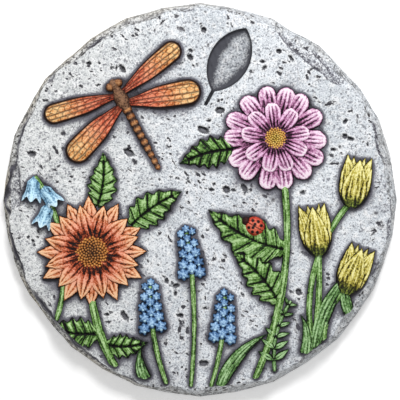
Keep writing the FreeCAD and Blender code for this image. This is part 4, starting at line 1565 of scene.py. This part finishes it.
# Wash and painted shade in the pores and pits
cement.tint(cement.rising(pore, 0.05, 0.8, full=0.9), PORE_GREY)
cement.tint(cement.rising(pore, 0.7, 1.0, full=0.75), HOLE_WASH_AND_SHADE)
cement.tint(cement.fading(dish, -0.35, 0.25, full=0.8), PIT_GREY)
cement.tint(cement.fading(dish, -1.4, -0.4, full=0.4), HOLE_WASH_AND_SHADE)
# Painted shadow under the upper lip of each pit
pit_shadow_share = cement.rising(cement.value("lee"), -0.7, 0.3, full=0.9)
cement.tint(cement.times(pit_shadow_share, cement.fading(dish, -0.5, 0.1)), PIT_SHADOW_BLACK)
print("nodes so far:", len(cement.tree.nodes))

# %% [markdown]
# ## The worn rim
# Down the rim the cement is stained brown, netted with fine cracks, and full of dark crumbs, most of all
# on the left. The cracks could be drawn, but drying cement parts like the borders of Voronoi cells, so
# they run there. The attribute rim fades all of it in below the edge of the face.

# %% Worn rim
EARTH = (192, 176, 146)
CRACK = (66, 60, 56)
CRUMB = (44, 40, 38)
stained = cement.times(cement.between(cement.noise(here, 0.05, 2), 0.35, 0.65, 0.15, 0.6), left_side)
cement.tint(cement.times(down_rim, stained), EARTH)
crack_cells = {"Vector": flow, "Scale": 0.15}
crack_gap = cement.add("ShaderNodeTexVoronoi", "Distance", crack_cells, feature="DISTANCE_TO_EDGE")
worn = cement.times(cement.rising(down_rim, 0.0, 0.3), cement.rising(cement.noise(here, 0.09, 2), 0.45, 0.6))
cracks = cement.times(cement.fading(crack_gap, 0.015, 0.07), worn)
cement.tint(cement.times(cracks, 0.65), CRACK)
crumbs = cement.rising(cement.noise(here, 0.38, 3, 0.65), 0.51, 0.61, full=0.9)
crumbs = cement.times(crumbs, left_side, cement.rising(down_rim, 0.0, 0.12))
cement.tint(crumbs, CRUMB)
print("nodes so far:", len(cement.tree.nodes))

# %% [markdown]
# ## Wash, painted shade and the dark print
# The wash is a smoky grey that turns nearly black where it lies thick: against the forms and in the crack.
# The same tints are painted shade in the steps of the ledges, in the dents and on the halo's lower side.
# A plain fade would look sprayed on, so grit and mottle break it up. The print was filled with wash and
# painted shade: dark along its edge, in a band of uneven width, and wiped paler in the middle.

# %% Wash and print
SMOKE_AND_SHADE = (98, 97, 107)
THICK_WASH_AND_SHADE = (44, 42, 47)
PRINT_GREY = (76, 77, 84)
PRINT_EDGE_SHADE = (22, 21, 25)
ledge_shade = cement.value("ledge")
# Painted shade in the steps of the ledges, broken up by grit
smoke_and_shade = cement.times(ledge_shade, cement.between(grit, 0.36, 0.62, 1.5, 0.5))
smoke_and_shade = cement.most(smoke_and_shade, cement.value("wash"), cement.rising(ledge_shade, 0.72, 1.1, full=1.15))
smoke_and_shade = cement.plus(smoke_and_shade, cement.swing(mottle, 0.5), cement.swing(grit, -0.8))
# Wash and painted shade: smoky grey, nearly black where thick
cement.tint(cement.rising(smoke_and_shade, 0.12, 1.1, full=0.95), SMOKE_AND_SHADE)
cement.tint(cement.rising(smoke_and_shade, 1.1, 1.55, full=0.8), THICK_WASH_AND_SHADE)
pressed = cement.fading(to_print, -0.35, 0.2)
# Wash and painted shade in a band along the print's wall
uneven = cement.plus(to_print, cement.swing(cement.noise(here, 0.055, 1), 16.0))
band = cement.between(uneven, -9.0, -1.5, 0.36, 1.2)
hollow = cement.math("ADD", cement.swing(grit, -1.2), band, clamp=True)
cement.tint(cement.times(hollow, pressed), PRINT_GREY)
# Painted shade along the print's edge, under its wall
cement.tint(cement.times(cement.rising(to_print, -1.7, -0.1, full=0.65), pressed), PRINT_EDGE_SHADE)
print("nodes so far:", len(cement.tree.nodes))

# %% [markdown]
# ## The finished slab
# Grains, pores, cracks and crumbs are too fine for the mesh. They could be left as mere colour, but a
# bump lets them catch the light too. The slab takes the place of the plain solid, and all other pieces
# stand on it.

# %% Slab
CEMENT_SHINE = 0.25
height = cement.plus(cement.times(mottle, 0.9), cement.times(grit, 0.25))
holes = cement.most(pore, cracks, crumbs)
height = cement.math("SUBTRACT", height, holes, cement.fading(dish, -1.4, 0.4, full=1.6))
rough = cement.between(grit, 0.3, 0.7, 0.8, 0.96)
cast_cement = cement.finish(rough, CEMENT_SHINE, height, strength=0.9, distance=1.4 * MM)
slab = add_piece("stone_slab", slab_points, slab_quads, underside, slab_values, cast_cement, sharp=60.0)
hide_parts("stepping_stone")

# %% [markdown]
# ## The floor
# The stone lies on a white studio floor. More light would whiten the floor but bleach the stone too, so
# the floor is white by its own colour, helped by a faint glow that only camera, mirror and glass rays
# see. The background stays white, and the stone's soft shadow remains.

# %% Floor
FLOOR_REACH = 3.0
FLOOR_WHITE = (0.9, 0.9, 0.9, 1.0)
FLOOR_ROUGH = 0.9
FLOOR_GLOW = 0.25
LIGHT_WHITE = (1.0, 1.0, 1.0, 1.0)
floor_corners = [(-FLOOR_REACH, -FLOOR_REACH, 0), (FLOOR_REACH, -FLOOR_REACH, 0),
                 (FLOOR_REACH, FLOOR_REACH, 0), (-FLOOR_REACH, FLOOR_REACH, 0)]
floor_mesh = bpy.data.meshes.new("floor")
floor_mesh.from_pydata(floor_corners, [], [(0, 1, 2, 3)])
floor = bpy.data.objects.new("floor", floor_mesh)
bpy.context.scene.collection.objects.link(floor)
white = Coats("white_floor")
rays = ("Is Camera Ray", "Is Glossy Ray", "Is Transmission Ray")
seen = white.plus(*[white.add("ShaderNodeLightPath", ray) for ray in rays])
white_sockets = {"Base Color": FLOOR_WHITE, "Roughness": FLOOR_ROUGH, "Emission Color": LIGHT_WHITE,
                 "Emission Strength": white.times(seen, FLOOR_GLOW)}
for name, value in white_sockets.items():
    white.put(white.shader.inputs[name], value)
floor_mesh.materials.append(white.material)
print("a floor of", 2 * FLOOR_REACH, "m")

# %% [markdown]
# ## Light and camera
# One large soft lamp, high up beyond the stone's upper edge, models the relief, and an even sky fills the
# shadows. A sun would do too, but its shadows would be too sharp. The camera looks straight down through
# a long lens, so that the rim shows no side.

# %% Light and camera
SKY_STRENGTH = 0.5
LAMP_POWER = 9.0
LAMP_SIZE = 0.3
LAMP_PLACE = (0.1, 0.66, 0.9)
CAMERA_PLACE = (0.0002, -0.0003, 1.6)
SENSOR_WIDTH = 36.0
LENS = 223.5
scene = bpy.context.scene
world = bpy.data.worlds.new("even_sky")
world.use_nodes = True
sky = world.node_tree.nodes["Background"]
sky.inputs["Color"].default_value = LIGHT_WHITE
sky.inputs["Strength"].default_value = SKY_STRENGTH
scene.world = world

lamp = bpy.data.lights.new("key", "AREA")
lamp.energy = LAMP_POWER
lamp.size = LAMP_SIZE
key = bpy.data.objects.new("key", lamp)
key.location = LAMP_PLACE
key.rotation_euler = (-key.location).to_track_quat("-Z", "Y").to_euler()
scene.collection.objects.link(key)

view = bpy.data.cameras.new("from_above")
view.sensor_width = SENSOR_WIDTH
view.lens = LENS
camera = bpy.data.objects.new("from_above", view)
camera.location = CAMERA_PLACE
scene.collection.objects.link(camera)
scene.camera = camera
scene.view_settings.view_transform = "Standard"
print("camera sees a width of", round(CAMERA_PLACE[2] / MM * SENSOR_WIDTH / LENS, 1), "mm on the floor")

# %% [markdown]
